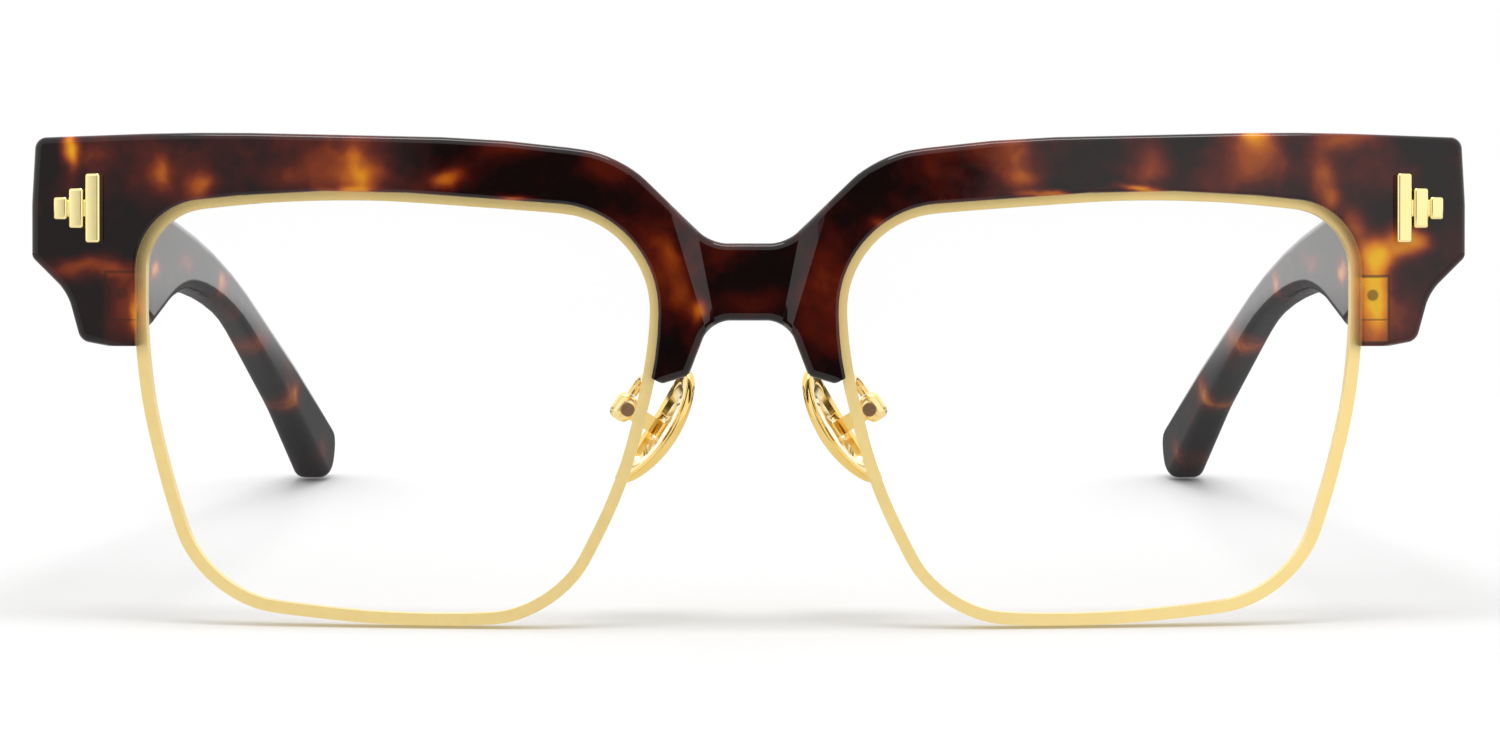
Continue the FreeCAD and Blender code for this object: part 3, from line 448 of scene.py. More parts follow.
# %% Rim outline
straight_on = 0.002
rim_outline = [
    (62.75, 42.95, 7.4), (43.20, 44.91, 99.9), (8.75, 42.37, 11.07), (8.75, 28.01, 30.0),
    (12.10, 14.41, 32.6), (19.01, 0.58, 11.49), (34.02, -0.36, 90.2), (56.11, 2.10, 12.0),
    (60.86, 17.22, 52.5), (62.75, 27.21, 40.0),
]


def half_turn(before, corner, after):
    into = (Vector(corner[:2]) - Vector(before[:2])).normalized()
    out = (Vector(after[:2]) - Vector(corner[:2])).normalized()
    return math.acos(max(-1.0, min(1.0, into.dot(out)))) / 2


def rounded_face(work, corners, degrees=5.0):
    dots = [work.verts.new((x, 0, z)) for x, z, radius in corners]
    work.faces.new(dots)
    for i, (x, z, radius) in enumerate(corners):
        turn = half_turn(corners[i - 1], corners[i], corners[(i + 1) % len(corners)])
        if radius > 0 and turn > straight_on:
            steps = max(2, math.ceil(math.degrees(2 * turn) / degrees))
            bmesh.ops.bevel(
                work, geom=[dots[i]], offset=radius * math.tan(turn), affect="VERTICES", segments=steps,
                profile=0.5, material=-1)
    work.faces.ensure_lookup_table()
    return work.faces[0]


rim_across = [corner[0] for corner in rim_outline]
rim_up = [corner[1] for corner in rim_outline]
print("rim outline", max(rim_across) - min(rim_across), "by", round(max(rim_up) - min(rim_up), 2), "mm")

# %% [markdown]
# ## From drawing to piece
# Every piece ends the same way. Doubles are merged, faces are shaded smooth, and edges past an
# angle stay sharp, which is how polished parts with crisp corners look. Weighted normals keep the
# flats flat beside rolled edges; more bevel segments could do that too, with many more faces. Then
# the piece rides on its body and stands for its CAD node. Edges are rolled by one bevel helper, and
# pieces of the front are bent round its curve. The operators may list points in another order each
# time, so points are sorted by place before the merge, and each run merges the same ones.

# %% Finish of a piece
front_radius = 430.0
weld_reach = 0.002
sliver_length = 0.001
sides = {"left": -1, "right": 1}


def rolled(work, edges, radius, steps, clamp=False):
    bmesh.ops.bevel(
        work, geom=edges, offset=radius, affect="EDGES", segments=steps, profile=0.5, material=-1,
        clamp_overlap=clamp)


def bend(work):
    for vert in work.verts:
        vert.co.y = front_radius - math.sqrt((front_radius - vert.co.y) ** 2 - vert.co.x ** 2)


def mirrored(work, label):
    bmesh.ops.scale(work, vec=(sides[label], 1, 1), verts=work.verts[:])


def keep(work, name, body, node, paint, sharp=38.0):
    ordered = sorted(work.verts, key=lambda vert: tuple(vert.co))
    bmesh.ops.remove_doubles(work, verts=ordered, dist=weld_reach)
    bmesh.ops.dissolve_degenerate(work, edges=work.edges[:], dist=sliver_length)
    bmesh.ops.recalc_face_normals(work, faces=work.faces[:])
    for face in work.faces:
        face.smooth = True
    for edge in work.edges:
        if edge.calc_face_angle(0) > math.radians(sharp):
            edge.smooth = False
    work.transform(stand)
    mesh = bpy.data.meshes.new(name)
    work.to_mesh(mesh)
    work.free()
    mesh.materials.append(paint)
    piece = bpy.data.objects.new(name, mesh)
    scene.collection.objects.link(piece)
    even = piece.modifiers.new("even_normals", "WEIGHTED_NORMAL")
    even.keep_sharp = True
    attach(piece, body)
    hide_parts(node)
    print(name, len(mesh.polygons), "faces")


print("front curve", front_radius, "mm radius")

# %% [markdown]
# ## Rims
# Each rim is wire bent round the lens and closed by a screwed block. A curve with a bevel profile
# could make it, but an inset of the outline keeps the wire's width even round the corners. The long
# sides are divided and smoothed, so that they run into the corners as in bent wire. The face is
# extruded to the wire's depth and its edges are rolled. On the roll that faces the lens the dark
# second colour is set: a painted shade, a thin dark line where the wire meets the lens.

# %% Rims
rim_setback = 1.9
rim_depth = 2.4
rim_wall = 1.2
rim_roll = 0.22
long_side = 2.5
long_side_cuts = 6
easing_rounds = 6
wire_edge_angle = 1.2
lens_middle = Vector((35.75, 0, 21.5))
lens_shade_band = (0.02, 0.20)


def widest(work):
    work.faces.ensure_lookup_table()
    return max(work.faces, key=lambda face: len(face.verts))


def wire_ring(work):
    rounded_face(work, rim_outline, degrees=3.0)
    long_sides = [edge for edge in work.edges if edge.calc_length() > long_side]
    bmesh.ops.subdivide_edges(work, edges=long_sides, cuts=long_side_cuts, use_grid_fill=False)
    for _ in range(easing_rounds):
        bmesh.ops.smooth_vert(work, verts=work.verts[:], factor=0.5, use_axis_x=True, use_axis_z=True)
    bmesh.ops.inset_region(
        work, faces=[widest(work)], thickness=rim_wall, use_even_offset=True, use_boundary=True)
    bmesh.ops.delete(work, geom=[widest(work)], context="FACES_ONLY")


def rim(label):
    work = bmesh.new()
    shade_and_tray = work.verts.layers.float.new("shade_and_tray")
    wire_ring(work)
    for vert in work.verts:
        vert.co.y = rim_setback
    result = bmesh.ops.extrude_face_region(work, geom=work.faces[:])
    for item in result["geom"]:
        if isinstance(item, bmesh.types.BMVert):
            item.co.y = rim_setback + rim_depth
    wire_edges = [edge for edge in work.edges if edge.calc_face_angle(0) > wire_edge_angle]
    rolled(work, wire_edges, rim_roll, steps=3)
    bmesh.ops.recalc_face_normals(work, faces=work.faces[:])
    work.normal_update()
    # painted shade: the roll facing the lens gets the dark second colour
    for vert in work.verts:
        to_lens = lens_middle - vert.co
        to_lens.y = 0
        in_lens_shade = lens_shade_band[0] < vert.co.y - rim_setback < lens_shade_band[1]
        vert[shade_and_tray] = 1.0 if in_lens_shade and vert.normal.dot(to_lens) > 0 else 0.0
    bend(work)
    mirrored(work, label)
    keep(work, "rim_wire_" + label, "front", "rim_" + label, rim_gold)


for label in sides:
    rim(label)

# %% [markdown]
# ## Brow outlines
# The brow is milled from sheet acetate. Its front outline runs along the lip that covers the rim,
# and its back outline steps away from the rim, to the rebate that holds it, and round the closing
# block. The openings could be cut with booleans, which leave ragged edges to bevel. Here both
# outlines are worked out from the rim's, with as many corners, in the same order.

# %% Brow outlines
lip_cover = 0.36
seat_gap = 0.05
brow_top = [
    (3.80, 38.80, 4.0), (13.00, 47.74, 11.0), (24.52, 49.40, 110.0), (56.00, 50.20, 199.8),
    (72.86, 49.70, 1.2), (73.25, 42.96, 12.7), (73.25, 37.50, 0.9), (69.54, 33.86, 5.0),
    (68.17, 28.95, 1.3),
]
brow_nose = [(8.75, 24.60, 0.7), (6.10, 25.40, 0.7), (3.95, 31.00, 3.0)]
front_block = [(65.25, 28.40, 0), (62.39, 28.40, 0), (62.39, 35.30, 0)]
back_block = [(65.25, 28.40, 0), (65.25, 35.30, 0), (62.80, 35.30, 0)]
front_nasal = (9.81, 25.18, 0)
back_nasal = (9.42, 24.97, 0)


def shifted(corners, inward):
    moved = []
    for i, (x, z, radius) in enumerate(corners):
        spot = Vector((x, z))
        into = (spot - Vector(corners[i - 1][:2])).normalized()
        out = (Vector(corners[(i + 1) % len(corners)][:2]) - spot).normalized()
        left = Vector((-into.y - out.y, into.x + out.x))
        spot = spot + left * (inward / (1 + into.dot(out)))
        moved.append((spot.x, spot.y, max(radius - inward, 0)))
    return moved


def brow_outline(block, opening, nasal_edge):
    half = brow_top + block + opening[:4] + [nasal_edge] + brow_nose
    return half + [(-x, z, radius) for x, z, radius in reversed(half)]


front_ring = brow_outline(front_block, shifted(rim_outline, lip_cover), front_nasal)
back_ring = brow_outline(back_block, shifted(rim_outline, -seat_gap), back_nasal)
print("brow outlines", len(front_ring), "and", len(back_ring), "corners")

# %% [markdown]
# ## Brow layers
# The sheet is built up in layers, front to back: the face is pushed back by the lip's depth, its
# outline steps out to the rebate, and it is pushed on to the full depth. The step works because
# both outlines have the same number of points, so each front point has its own back point.

# %% Brow layers
lip_depth = 1.85


def spot_key(x, z):
    return round(x, 4), round(z, 4)


def pushed(work, face, depth):
    inside = any(len(edge.link_faces) > 1 for edge in face.edges)
    result = bmesh.ops.extrude_face_region(work, geom=[face])
    fresh = next(item for item in result["geom"] if isinstance(item, bmesh.types.BMFace))
    for vert in fresh.verts:
        vert.co.y = depth
    if inside:
        bmesh.ops.delete(work, geom=[face], context="FACES_ONLY")
    return fresh


back_work = bmesh.new()
back_spots = [(vert.co.x, vert.co.z) for vert in rounded_face(back_work, back_ring).verts]
back_work.free()
brow_work = bmesh.new()
layer = rounded_face(brow_work, front_ring)
step = {spot_key(vert.co.x, vert.co.z): back for vert, back in zip(layer.verts, back_spots)}
print("outline points", len(layer.verts), "in front,", len(back_spots), "at the back")
layer = pushed(brow_work, layer, lip_depth)
layer = pushed(brow_work, layer, lip_depth)
for vert in layer.verts:
    vert.co.x, vert.co.z = step[spot_key(vert.co.x, vert.co.z)]
pushed(brow_work, layer, brow_depth)
print("brow layers", len(brow_work.faces), "faces")

# %% [markdown]
# ## Bridge facets
# Between the lenses the real bridge is milled back, with a slanting facet on either side. A wedge
# could be cut away with a boolean. It is simpler to slice the flat face along the four edges of the
# facets, and to move each of its points back by how far it lies between them.

# %% Bridge facets
bridge_recess = 1.2
outer_facet_edge = ((31.4, 4.70), (41.0, 7.57))
inner_facet_edge = ((31.4, 3.50), (41.0, 5.40))
cut_reach = 1e-5
flat_reach = 1e-4


def on_line(value, start, end):
    return start[1] + (end[1] - start[1]) * (value - start[0]) / (end[0] - start[0])


def region(work, faces):
    chosen = set(faces)
    verts = [vert for vert in work.verts if chosen.intersection(vert.link_faces)]
    edges = [edge for edge in work.edges if chosen.intersection(edge.link_faces)]
    return verts + edges + faces


def sliced(work, faces, place, normal, clear=False):
    bmesh.ops.bisect_plane(
        work, geom=region(work, faces), dist=cut_reach, plane_co=place, plane_no=normal, clear_inner=clear)


for side in sides.values():
    for (low_z, low_x), (high_z, high_x) in (outer_facet_edge, inner_facet_edge):
        flat = [face for face in brow_work.faces if all(abs(vert.co.y) < flat_reach for vert in face.verts)]
        sliced(brow_work, flat, (side * low_x, 0, low_z), (high_z - low_z, 0, side * (low_x - high_x)))
for vert in brow_work.verts:
    if abs(vert.co.y) < flat_reach:
        outer = on_line(vert.co.z, *outer_facet_edge)
        inner = on_line(vert.co.z, *inner_facet_edge)
        vert.co.y = bridge_recess * min(1.0, max(0.0, (outer - abs(vert.co.x)) / (outer - inner)))
brow_work.normal_update()
print("bridge milled back", bridge_recess, "mm")

# %% [markdown]
# ## Brow edges
# Tumbling rounds every edge of polished acetate, the outside more than the thin lip over the rim.
# One bevel modifier would round all edges alike, so the edges are picked by where they lie: lip
# edges are those whose outline steps at the back. The edges of the facets stay crisp.

# %% Brow edges
lip_roll = 0.35
face_roll = 0.75
back_roll = 0.45
layer_reach = 0.1
lip_step = 0.1


def border_edges(work, faces):
    chosen = set(faces)
    return [edge for edge in work.edges if len(chosen.intersection(edge.link_faces)) == 1]


def on_lip(edge):
    return all(spot_key(vert.co.x, vert.co.z) in lip_spots for vert in edge.verts)


front_limit = bridge_recess + layer_reach
front_parts = [face for face in brow_work.faces if max(vert.co.y for vert in face.verts) < front_limit]
for edge in brow_work.edges:
    if all(face in front_parts for face in edge.link_faces):
        edge.smooth = False
lip_spots = {spot for spot, back in step.items() if (Vector(spot) - Vector(back)).length > lip_step}
face_edges = border_edges(brow_work, front_parts)
lip_edges = [edge for edge in face_edges if on_lip(edge)]
outer_edges = [edge for edge in face_edges if not on_lip(edge)]
print("rolling", len(lip_edges), "lip edges and", len(outer_edges), "outer edges")
rolled(brow_work, lip_edges, lip_roll, steps=3)
rolled(brow_work, [edge for edge in outer_edges if edge.is_valid], face_roll, steps=5)
back_limit = brow_depth - layer_reach
back_parts = [face for face in brow_work.faces if min(vert.co.y for vert in face.verts) > back_limit]
rolled(brow_work, border_edges(brow_work, back_parts), back_roll, steps=3)

# %% [markdown]
# ## Hinge pockets and front curve
# The plates of the hinges sit in shallow pockets in the back of the brow, as a maker routs them.
# A boolean could cut them, but slicing the back face along the pocket's four sides and pushing in
# what lies inside leaves clean faces. Last the brow is bent round the front's curve, as warm acetate
# is bent over a block. It is sliced into narrow strips first, since a long flat face can't bend.

# %% Hinge pockets and curve
hinge_height = 7.07
pocket_depth = 0.95
pocket_bottom = hinge_bottom - seat_gap
pocket_top = pocket_bottom + hinge_height + 2 * seat_gap
front_pocket = (63.10, 68.55)
face_reach = 0.001
curve_end = 72.0
curve_step = 2.0


def hinge_pocket(work, on_face, axis, limits, shift):
    across = Vector((0, 0, 0))
    across[axis] = 1
    up = Vector((0, 0, 1))
    cuts = [(limit, across) for limit in limits] + [(pocket_bottom, up), (pocket_top, up)]
    for distance, normal in cuts:
        sliced(work, [face for face in work.faces if on_face(face)], normal * distance, normal)
    floor_faces = []
    for face in work.faces:
        middle = face.calc_center_median()
        between = min(limits) < middle[axis] < max(limits) and pocket_bottom < middle.z < pocket_top
        if between and on_face(face):
            floor_faces.append(face)
    result = bmesh.ops.extrude_face_region(work, geom=floor_faces)
    moved = [item for item in result["geom"] if isinstance(item, bmesh.types.BMVert)]
    bmesh.ops.translate(work, vec=shift, verts=moved)
    bmesh.ops.delete(work, geom=[face for face in floor_faces if face.is_valid], context="FACES")


def on_back(face):
    return min(vert.co.y for vert in face.verts) > brow_depth - face_reach


def slice_x(work, low, high, width):
    for i in range(round((high - low) / width) + 1):
        sliced(work, work.faces[:], (low + i * width, 0, 0), (1, 0, 0))


for side in sides.values():
    hinge_pocket(brow_work, on_back, 0, [side * x for x in front_pocket], (0, -pocket_depth, 0))
slice_x(brow_work, -curve_end, curve_end, curve_step)
bend(brow_work)
keep(brow_work, "brow_acetate", "front", "brow_front", brow_acetate, sharp=32.0)

# %% [markdown]
# ## Plaques
# The metal plaque on each end piece is a stamped row of three bars, tall to short, on a low strip
# that joins them. A single stepped outline could be extruded, but then all bars would be as proud
# as each other. Each bar is a cube: its start, width and height are shares of the plaque, and how
# proud it stands is in millimetres. Its rolled edges catch a bright line.

# %% Plaques
plaque_length = 5.05
plaque_height = 7.1
plaque_sunk = 0.3
plaque_roll = 0.30
plaque_place = Vector((68.3, 42.45))
end_turn = math.radians(5)
plaque_turn = math.asin(plaque_place.x / front_radius) + end_turn
plaque_bars = (
    {"start": 0.000, "width": 0.315, "height": 1.00, "proud": 0.75},
    {"start": 0.355, "width": 0.315, "height": 0.58, "proud": 0.72},
    {"start": 0.705, "width": 0.295, "height": 0.33, "proud": 0.68},
    {"start": 0.200, "width": 0.600, "height": 0.26, "proud": 0.42},
)


def cube(work, middle, sizes):
    place = Matrix.Translation(middle) @ Matrix.Diagonal((*sizes, 1))
    return bmesh.ops.create_cube(work, size=1, matrix=place)["verts"]


def plaque(label):
    work = bmesh.new()
    for bar in plaque_bars:
        depth = bar["proud"] + plaque_sunk
        x = plaque_length * (bar["start"] + bar["width"] / 2 - 0.5)
        sizes = (plaque_length * bar["width"], depth, plaque_height * bar["height"])
        corners = set(cube(work, (x, plaque_sunk - depth / 2, 0), sizes))
        edges = [edge for edge in work.edges if corners.issuperset(edge.verts)]
        rolled(work, edges, plaque_roll, steps=5, clamp=True)
    face_y = front_radius - math.sqrt(front_radius ** 2 - plaque_place.x ** 2)
    place = Matrix.Translation((plaque_place.x, face_y, plaque_place.y))
    work.transform(place @ Matrix.Rotation(plaque_turn, 4, "Z"))
    mirrored(work, label)
    keep(work, "plaque_bars_" + label, "front", "front_plaque_" + label, plaque_gold)


for label in sides:
    plaque(label)

# %% [markdown]
# ## Temple outline
# A temple is milled from acetate strip over a steel core: deep at the hinge with a fin below, thin
# along the arm, and bent down to a rounded paddle. Its side outline is drawn as y, z and a radius.
# Its thickness falls from the butt to a waist and grows again to the tip. Two straight lines would
# meet in a crease at the waist, so a smooth maximum of the two is taken.

# %% Temple outline
temple_outline = [
    (-5.26, 47.77, 0), (58.39, 38.84, 200.0), (102.04, 26.18, 98.6), (130.26, 16.99, 2.4),
    (129.06, 13.10, 4.5), (125.66, 10.45, 4.5), (102.04, 19.78, 98.6), (58.39, 34.04, 100.0),
    (35.60, 34.50, 40.0), (20.60, 30.20, 2.4), (-5.26, 37.40, 0),
]
butt = (-5.26, 6.8)
waist = (64.4, 2.8)
tip = (134.1, 4.9)
waist_ease = 0.3


def arm_thickness(y):
    front = on_line(y, butt, waist)
    paddle = on_line(y, waist, tip)
    return (front + paddle) / 2 + math.hypot((front - paddle) / 2, waist_ease)


for y, thickness in (butt, waist, tip):
    print("arm at", y, "mm is", round(arm_thickness(y), 2), "mm thick")

# %% [markdown]
# ## Temples
# The side outline is extruded to a thickness of one, sliced into strips, and each strip is scaled
# to the arm's thickness there, so that the outer face follows the swelling. The edges are rolled
# over, the butt is cut off where it meets the end piece, and the hinge's pocket is pushed in. A
# loft through sections could do the same, but it would blur the fin's corner.

# %% Temples
temple_inside = 1.8
toe_in = math.radians(5.6)
hinge_reach = 64.3
butt_turn = math.asin(hinge_reach / (front_radius - brow_depth)) - toe_in
butt_setback = 1.55
temple_roll = 1.35
temple_pocket = (-1.15, 5.95)
flank_share = 0.8
strip_start = -4.0
strip_end = 129.0
strip_width = 1.9


def capped(work):
    bmesh.ops.holes_fill(work, edges=[edge for edge in work.edges if edge.is_boundary], sides=0)


def on_inside(face):
    return max(vert.co.x for vert in face.verts) < temple_inside + face_reach


def temple(label):
    work = bmesh.new()
    pushed(work, rounded_face(work, temple_outline, degrees=3.0), depth=1.0)
    slice_x(work, strip_start, strip_end, strip_width)
    for vert in work.verts:
        along = vert.co.x
        vert.co = (temple_inside + vert.co.y * arm_thickness(along), along, vert.co.z)
    bmesh.ops.recalc_face_normals(work, faces=work.faces[:])
    flanks = [face for face in work.faces if abs(face.normal.x) > flank_share]
    rolled(work, border_edges(work, flanks), temple_roll, steps=5)
    butt_normal = Vector((-math.sin(butt_turn), math.cos(butt_turn), 0))
    sliced(work, work.faces[:], butt_normal * -butt_setback, butt_normal, clear=True)
    capped(work)
    hinge_pocket(work, on_inside, 1, temple_pocket, (pocket_depth, 0, 0))
    work.transform(Matrix.Translation((hinge_mm.x, hinge_mm.y, 0)) @ Matrix.Rotation(toe_in, 4, "Z"))
    mirrored(work, label)
    body = "temple_" + label
    keep(work, "temple_acetate_" + label, body, body, temple_acetate)


for label in sides:
    temple(label)

# %% [markdown]
# ## Pad boxes
# Each pad hangs in a small box on its arm, a rounded lump with a slot for the pad's tongue. A
# boolean could cut the slot. Here the lump is copied and trimmed by planes, twice for the cheeks
# beside the slot and once for the web that joins them, which keeps every piece closed and clean.
# Box and pad are drawn on the pad's own axes, with x out of the pad towards the box.

# %% Pad boxes
pad_middle = (9.0, 11.15, 19.7)
pad_splay = Matrix.Rotation(math.radians(-32.5), 4, "Y")
pad_toe = Matrix.Rotation(math.radians(-20.0), 4, "Z")
pad_axes = Matrix.Translation(pad_middle) @ pad_splay @ pad_toe
box_middle = (4.8, 0, 0)
box_sizes = (2.3, 2.2, 3.1)
box_roll = 1.0
slot_half = 0.45
web_start = 5.3
web_half = 0.47


def trimmed(source, *planes):
    work = source.copy()
    for place, normal in planes:
        sliced(work, work.faces[:], place, normal, clear=True)
        capped(work)
    return work


def pad_box(label):
    lump = bmesh.new()
    cube(lump, box_middle, box_sizes)
    rolled(lump, lump.edges[:], box_roll, steps=6)
    web = (((web_start, 0, 0), (1, 0, 0)), ((0, web_half, 0), (0, -1, 0)), ((0, -web_half, 0), (0, 1, 0)))
    parts = [
        trimmed(lump, ((0, slot_half, 0), (0, 1, 0))),
        trimmed(lump, ((0, -slot_half, 0), (0, -1, 0))),
        trimmed(lump, *web),
    ]
    lump.free()
    work = bmesh.new()
    for part in parts:
        mesh = bpy.data.meshes.new("pad_box_part")
        part.to_mesh(mesh)
        work.from_mesh(mesh)
        bpy.data.meshes.remove(mesh)
        part.free()
    work.transform(pad_axes)
    mirrored(work, label)
    keep(work, "pad_ball_" + label, "front", "pad_box_" + label, ball_gold, sharp=50.0)


for label in sides:
    pad_box(label)

# %% [markdown]
# ## Nose pads
# The pads are stamped metal shells, dished to the nose and rolled at the edge, with a shallow tray
# on the side of the box. A squashed ball would have no edge to roll. So an ellipse is inset ring by
# ring, extruded and dished along a sphere, and its inner rings are let in as the tray. The tone is
# set in the tray, which is paler in the photo than the border.

# %% Nose pads
pad_half_width = 3.5
pad_half_height = 6.8
pad_thickness = 1.1
pad_dish_radius = 16.0
pad_roll = 0.42
pad_edge_angle = 1.1
pad_rings = (0.09, 0.11, 0.10, 0.06, 0.20, 0.20)
tray_depth = 0.55
tray_radius = 0.70
tray_slope = 0.06
tongue_middle = (2.4, 0, 0)
tongue_sizes = (4.9, 0.8, 1.6)


def nose_pad(label):
    work = bmesh.new()
    shade_and_tray = work.verts.layers.float.new("shade_and_tray")
    bmesh.ops.create_circle(work, cap_ends=True, segments=72, radius=1.0)
    for width in pad_rings:
        bmesh.ops.inset_region(
            work, faces=[widest(work)], thickness=width, use_even_offset=True, use_boundary=True)
    nose_side = set(work.verts[:])
    bmesh.ops.extrude_face_region(work, geom=work.faces[:])
    for vert in work.verts:
        ring = math.hypot(vert.co.x, vert.co.y)
        tray = min(1.0, max(0.0, (tray_radius - ring) / tray_slope))
        vert[shade_and_tray] = 0.0 if vert in nose_side else tray
        lift = 0.0 if vert in nose_side else pad_thickness - tray_depth * tray
        y = pad_half_width * vert.co.y
        z = pad_half_height * vert.co.x
        dish = pad_dish_radius - math.sqrt(pad_dish_radius ** 2 - y * y - z * z)
        vert.co = (lift - pad_thickness + dish, y, z)
    work.normal_update()
    pad_edges = [edge for edge in work.edges if edge.calc_face_angle(0) > pad_edge_angle]
    rolled(work, pad_edges, pad_roll, steps=5)
    cube(work, tongue_middle, tongue_sizes)
    work.transform(pad_axes)
    mirrored(work, label)
    body = "nose_pad_" + label
    keep(work, "pad_shell_" + label, body, body, pad_gold, sharp=50.0)


for label in sides:
    nose_pad(label)

# %% [markdown]
# ## Pieces that keep their CAD shape
# Lenses, closing blocks, pad arms, hinges, cores and screws are small or plain, and the CAD shape is
# the real one, so they only get a finish. On the blocks and hinges the loose triangles of the CAD
# mesh are welded and a fine bevel breaks the edges, as tumbling does on the real parts. The nodes
# that new pieces stand for are painted too, so that no node is left without a finish.

# %% CAD nodes
cad_paints = {
    "lens": lens_clear, "closing_block": rim_gold, "pad_arm": pad_gold, "pad_box": pad_gold,
    "front_hinge": hinge_steel, "temple_hinge": hinge_steel, "temple_core": hinge_steel,
    "closing_screws": screw_steel, "brow_screws": screw_steel, "hinge_screws": screw_steel,
    "pad_screws": pad_screw_shade_metal, "rim": rim_gold, "brow": brow_acetate, "temple": temple_acetate,
    "front_plaque": plaque_gold, "nose_pad": pad_gold,
}
broken_edges = ("closing_block", "front_hinge", "temple_hinge")
broken_width = 0.12 * mm
for label, item in frame["nodes"].items():
    paint = next(paint for start, paint in cad_paints.items() if label.startswith(start))
    item.data.materials.clear()
    item.data.materials.append(paint)
    if label.startswith(broken_edges):
        weld = item.modifiers.new("weld", "WELD")
        weld.merge_threshold = weld_reach * mm
        edge = item.modifiers.new("broken_edge", "BEVEL")
        edge.width = broken_width
        edge.segments = 2
        edge.limit_method = "ANGLE"
print(len(frame["nodes"]), "CAD nodes painted")

# %% [markdown]
# ## Floor
# The photo is a product shot on white, with a soft shadow where the glasses touch the table. The
# floor is one large square just below them. It is staging: it is seen, and isn't part of the
# object.

# %% Floor
floor_reach = 6.0
floor_gap = 0.05 * mm
floor_work = bmesh.new()
bmesh.ops.create_grid(floor_work, x_segments=1, y_segments=1, size=floor_reach)
floor_mesh = bpy.data.meshes.new("floor")
floor_work.to_mesh(floor_mesh)
floor_work.free()
floor = bpy.data.objects.new("floor", floor_mesh)
floor.location.z = cad_low[2] - floor_gap
scene.collection.objects.link(floor)
print("floor at", round(floor.location.z / mm, 2), "mm")

# %% [markdown]
# ## Floor paint
# To the camera the floor is plain near the glasses, so that it keeps their shadow, and fades to
# pure white further out, as the studio sweep does. Polished parts mirror the floor too, and a white
# one would wash them out. So other rays meet a dull floor, which is bright only in front of the
# glasses and far behind them. One white floor for all rays would be simpler, and much flatter.

# %% Floor paint
white = (1, 1, 1, 1)
near_grey = (0.675, 0.675, 0.675, 1)
dull_grey = (0.10, 0.10, 0.10, 1)
near_lift = 0.01
fade_out = (0.14, 0.40)
front_fade = (-0.02, 0.06)
front_share = 0.9
back_fade = (0.18, 0.40)
floor_paint, floor_tree, floor_skin = material("floor_white")
floor_tree.nodes.remove(floor_skin)
floor_place = object_place(floor_tree)
floor_y = node(floor_tree, "ShaderNodeSeparateXYZ", floor_place).outputs["Y"]
floor_glow = node(floor_tree, "ShaderNodeEmission", white, 1.0).outputs[0]
floor_lift = node(floor_tree, "ShaderNodeEmission", white, near_lift).outputs[0]
floor_plain = node(floor_tree, "ShaderNodeBsdfDiffuse", near_grey).outputs[0]
floor_dull = node(floor_tree, "ShaderNodeBsdfDiffuse", dull_grey).outputs[0]
floor_near = node(floor_tree, "ShaderNodeAddShader", floor_plain, floor_lift).outputs[0]
floor_away = spread(floor_tree, vector_node(floor_tree, "LENGTH", floor_place), *fade_out, 0.0, 1.0)
floor_front = spread(floor_tree, floor_y, *front_fade, front_share, 0.0)
floor_back = spread(floor_tree, floor_y, *back_fade, 0.0, 1.0)
floor_bright = math_node(floor_tree, "MAXIMUM", floor_front, floor_back)
floor_rays = node(floor_tree, "ShaderNodeLightPath").outputs
floor_look = math_node(floor_tree, "MAXIMUM", floor_rays["Is Camera Ray"], floor_rays["Is Transmission Ray"])
floor_seen = node(floor_tree, "ShaderNodeMixShader", floor_away, floor_near, floor_glow).outputs[0]
floor_other = node(floor_tree, "ShaderNodeMixShader", floor_bright, floor_dull, floor_glow).outputs[0]
floor_whole = node(floor_tree, "ShaderNodeMixShader", floor_look, floor_other, floor_seen).outputs[0]
floor_tree.links.new(floor_whole, floor_tree.nodes["Material Output"].inputs["Surface"])
floor_mesh.materials.append(floor_paint)
print("floor paint", len(floor_tree.nodes), "nodes")

# %% [markdown]
# ## World
# The studio is bright all round, with a dark gap in front where the camera stands. The polished
# brow mirrors that gap, so it goes dark in the middle and grey at the ends. Cards and lamps could
# be set up round the object; a world made from directions needs no objects at all. The gap is
# measured as the way to the side for each step ahead, has a half-lit strip on its left, and ends
# above the camera. To the camera itself the sky is white.

# %% World
gap_right_edge = (0.14, 0.20)
gap_left_edge = (-0.26, -0.20)
gap_left_light = 0.5
far_left_edge = (-0.80, -0.60)
gap_top = (0.22, 0.38)
ahead_fade = (0.60, 0.85)
ahead_light = 0.95
least_ahead = 0.001
sky_light = 1.18
gap_light = 0.05
world = bpy.data.worlds.new("studio")
scene.world = world
world.use_nodes = True
sky = world.node_tree
sky_way = node(sky, "ShaderNodeSeparateXYZ", node(sky, "ShaderNodeTexCoord").outputs["Generated"]).outputs
sky_ahead = math_node(sky, "MAXIMUM", math_node(sky, "MULTIPLY", sky_way["Y"], -1.0), least_ahead)
sky_side = math_node(sky, "DIVIDE", sky_way["X"], sky_ahead)
sky_half = spread(sky, sky_side, *gap_left_edge, gap_left_light, 0.0)
sky_left = math_node(sky, "MAXIMUM", sky_half, spread(sky, sky_side, *far_left_edge, 1.0, 0.0))
sky_right = spread(sky, sky_side, *gap_right_edge, 0.0, 1.0)
sky_high = spread(sky, sky_way["Z"], *gap_top, 0.0, 1.0)
sky_open = math_node(sky, "MAXIMUM", math_node(sky, "MAXIMUM", sky_left, sky_right), sky_high)
sky_level = math_node(sky, "MULTIPLY", sky_open, spread(sky, sky_ahead, *ahead_fade, 1.0, ahead_light))
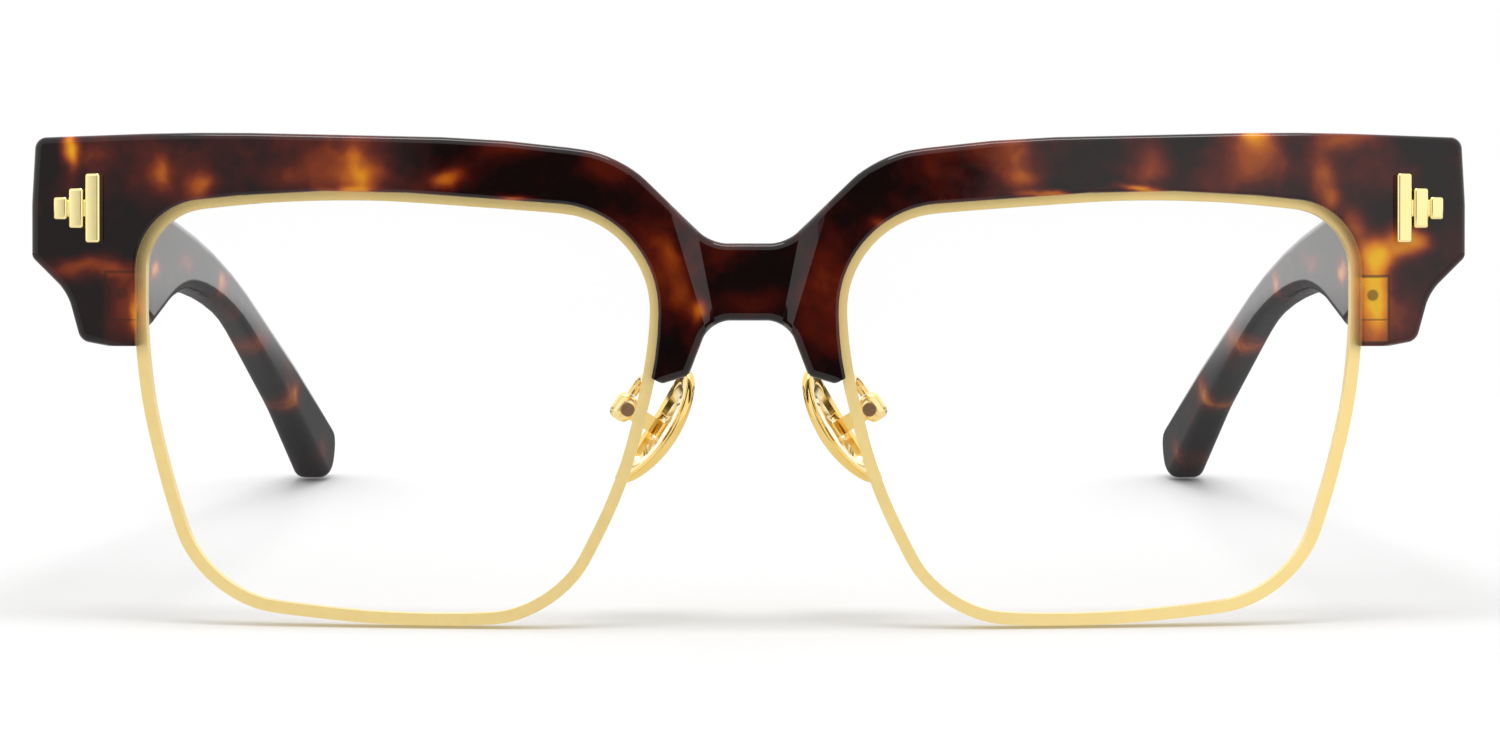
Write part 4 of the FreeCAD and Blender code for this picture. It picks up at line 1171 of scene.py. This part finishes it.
sky_lit = math_node(sky, "MAXIMUM", math_node(sky, "MULTIPLY", sky_level, sky_light), gap_light)
sky_rays = node(sky, "ShaderNodeLightPath").outputs
sky_back = sky.nodes["Background"]
sky_back.inputs["Color"].default_value = white
sky.links.new(math_node(sky, "MAXIMUM", sky_lit, sky_rays["Is Camera Ray"]), sky_back.inputs["Strength"])
print("world", len(sky.nodes), "nodes")

# %% [markdown]
# ## Lamp
# One softbox hangs above and a little in front, as over a product table. It puts the shadow under
# the glasses and a soft light on the tops of brow and rims. A point lamp would give the shadow a
# hard edge, so an area lamp is used.

# %% Lamp
lamp_place = Vector((0, -0.10, 0.95))
lamp_aim = Vector((0, -0.02, 0.02))
lamp = bpy.data.lights.new("top_softbox", "AREA")
lamp.shape = "RECTANGLE"
lamp.size = 0.6
lamp.size_y = 0.3
lamp.energy = 4.0
lamp_item = bpy.data.objects.new("top_softbox", lamp)
lamp_item.location = lamp_place
lamp_item.rotation_euler = (lamp_aim - lamp_place).to_track_quat("-Z", "Y").to_euler()
scene.collection.objects.link(lamp_item)
print("softbox", lamp.size, "by", lamp.size_y, "m,", lamp.energy, "W")

# %% [markdown]
# ## Camera
# The photo is taken from about half a metre, a little above the brow and looking slightly down.
# The place could be guessed by eye; these numbers were fitted by laying the CAD outline over the
# photo, and the distance is taken from the front of the brow.

# %% Camera
eye_distance = 0.5022
eye_height = 0.0725
eye_aside = 0.00015
eye_dip = 5.3
brow_low, brow_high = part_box("brow_front")
eye = bpy.data.cameras.new("photo_camera")
eye.sensor_fit = "HORIZONTAL"
eye.sensor_width = 36.0
eye.lens = 120.0
eye.clip_start = 0.01
eye_item = bpy.data.objects.new("photo_camera", eye)
eye_item.location = (eye_aside, brow_low[1] - eye_distance, eye_height)
eye_item.rotation_euler = (math.radians(90 - eye_dip), 0, 0)
scene.collection.objects.link(eye_item)
scene.camera = eye_item
scene.view_settings.view_transform = "Standard"
print("brow", box_size(brow_low, brow_high), "mm, seen from", eye_distance, "m")
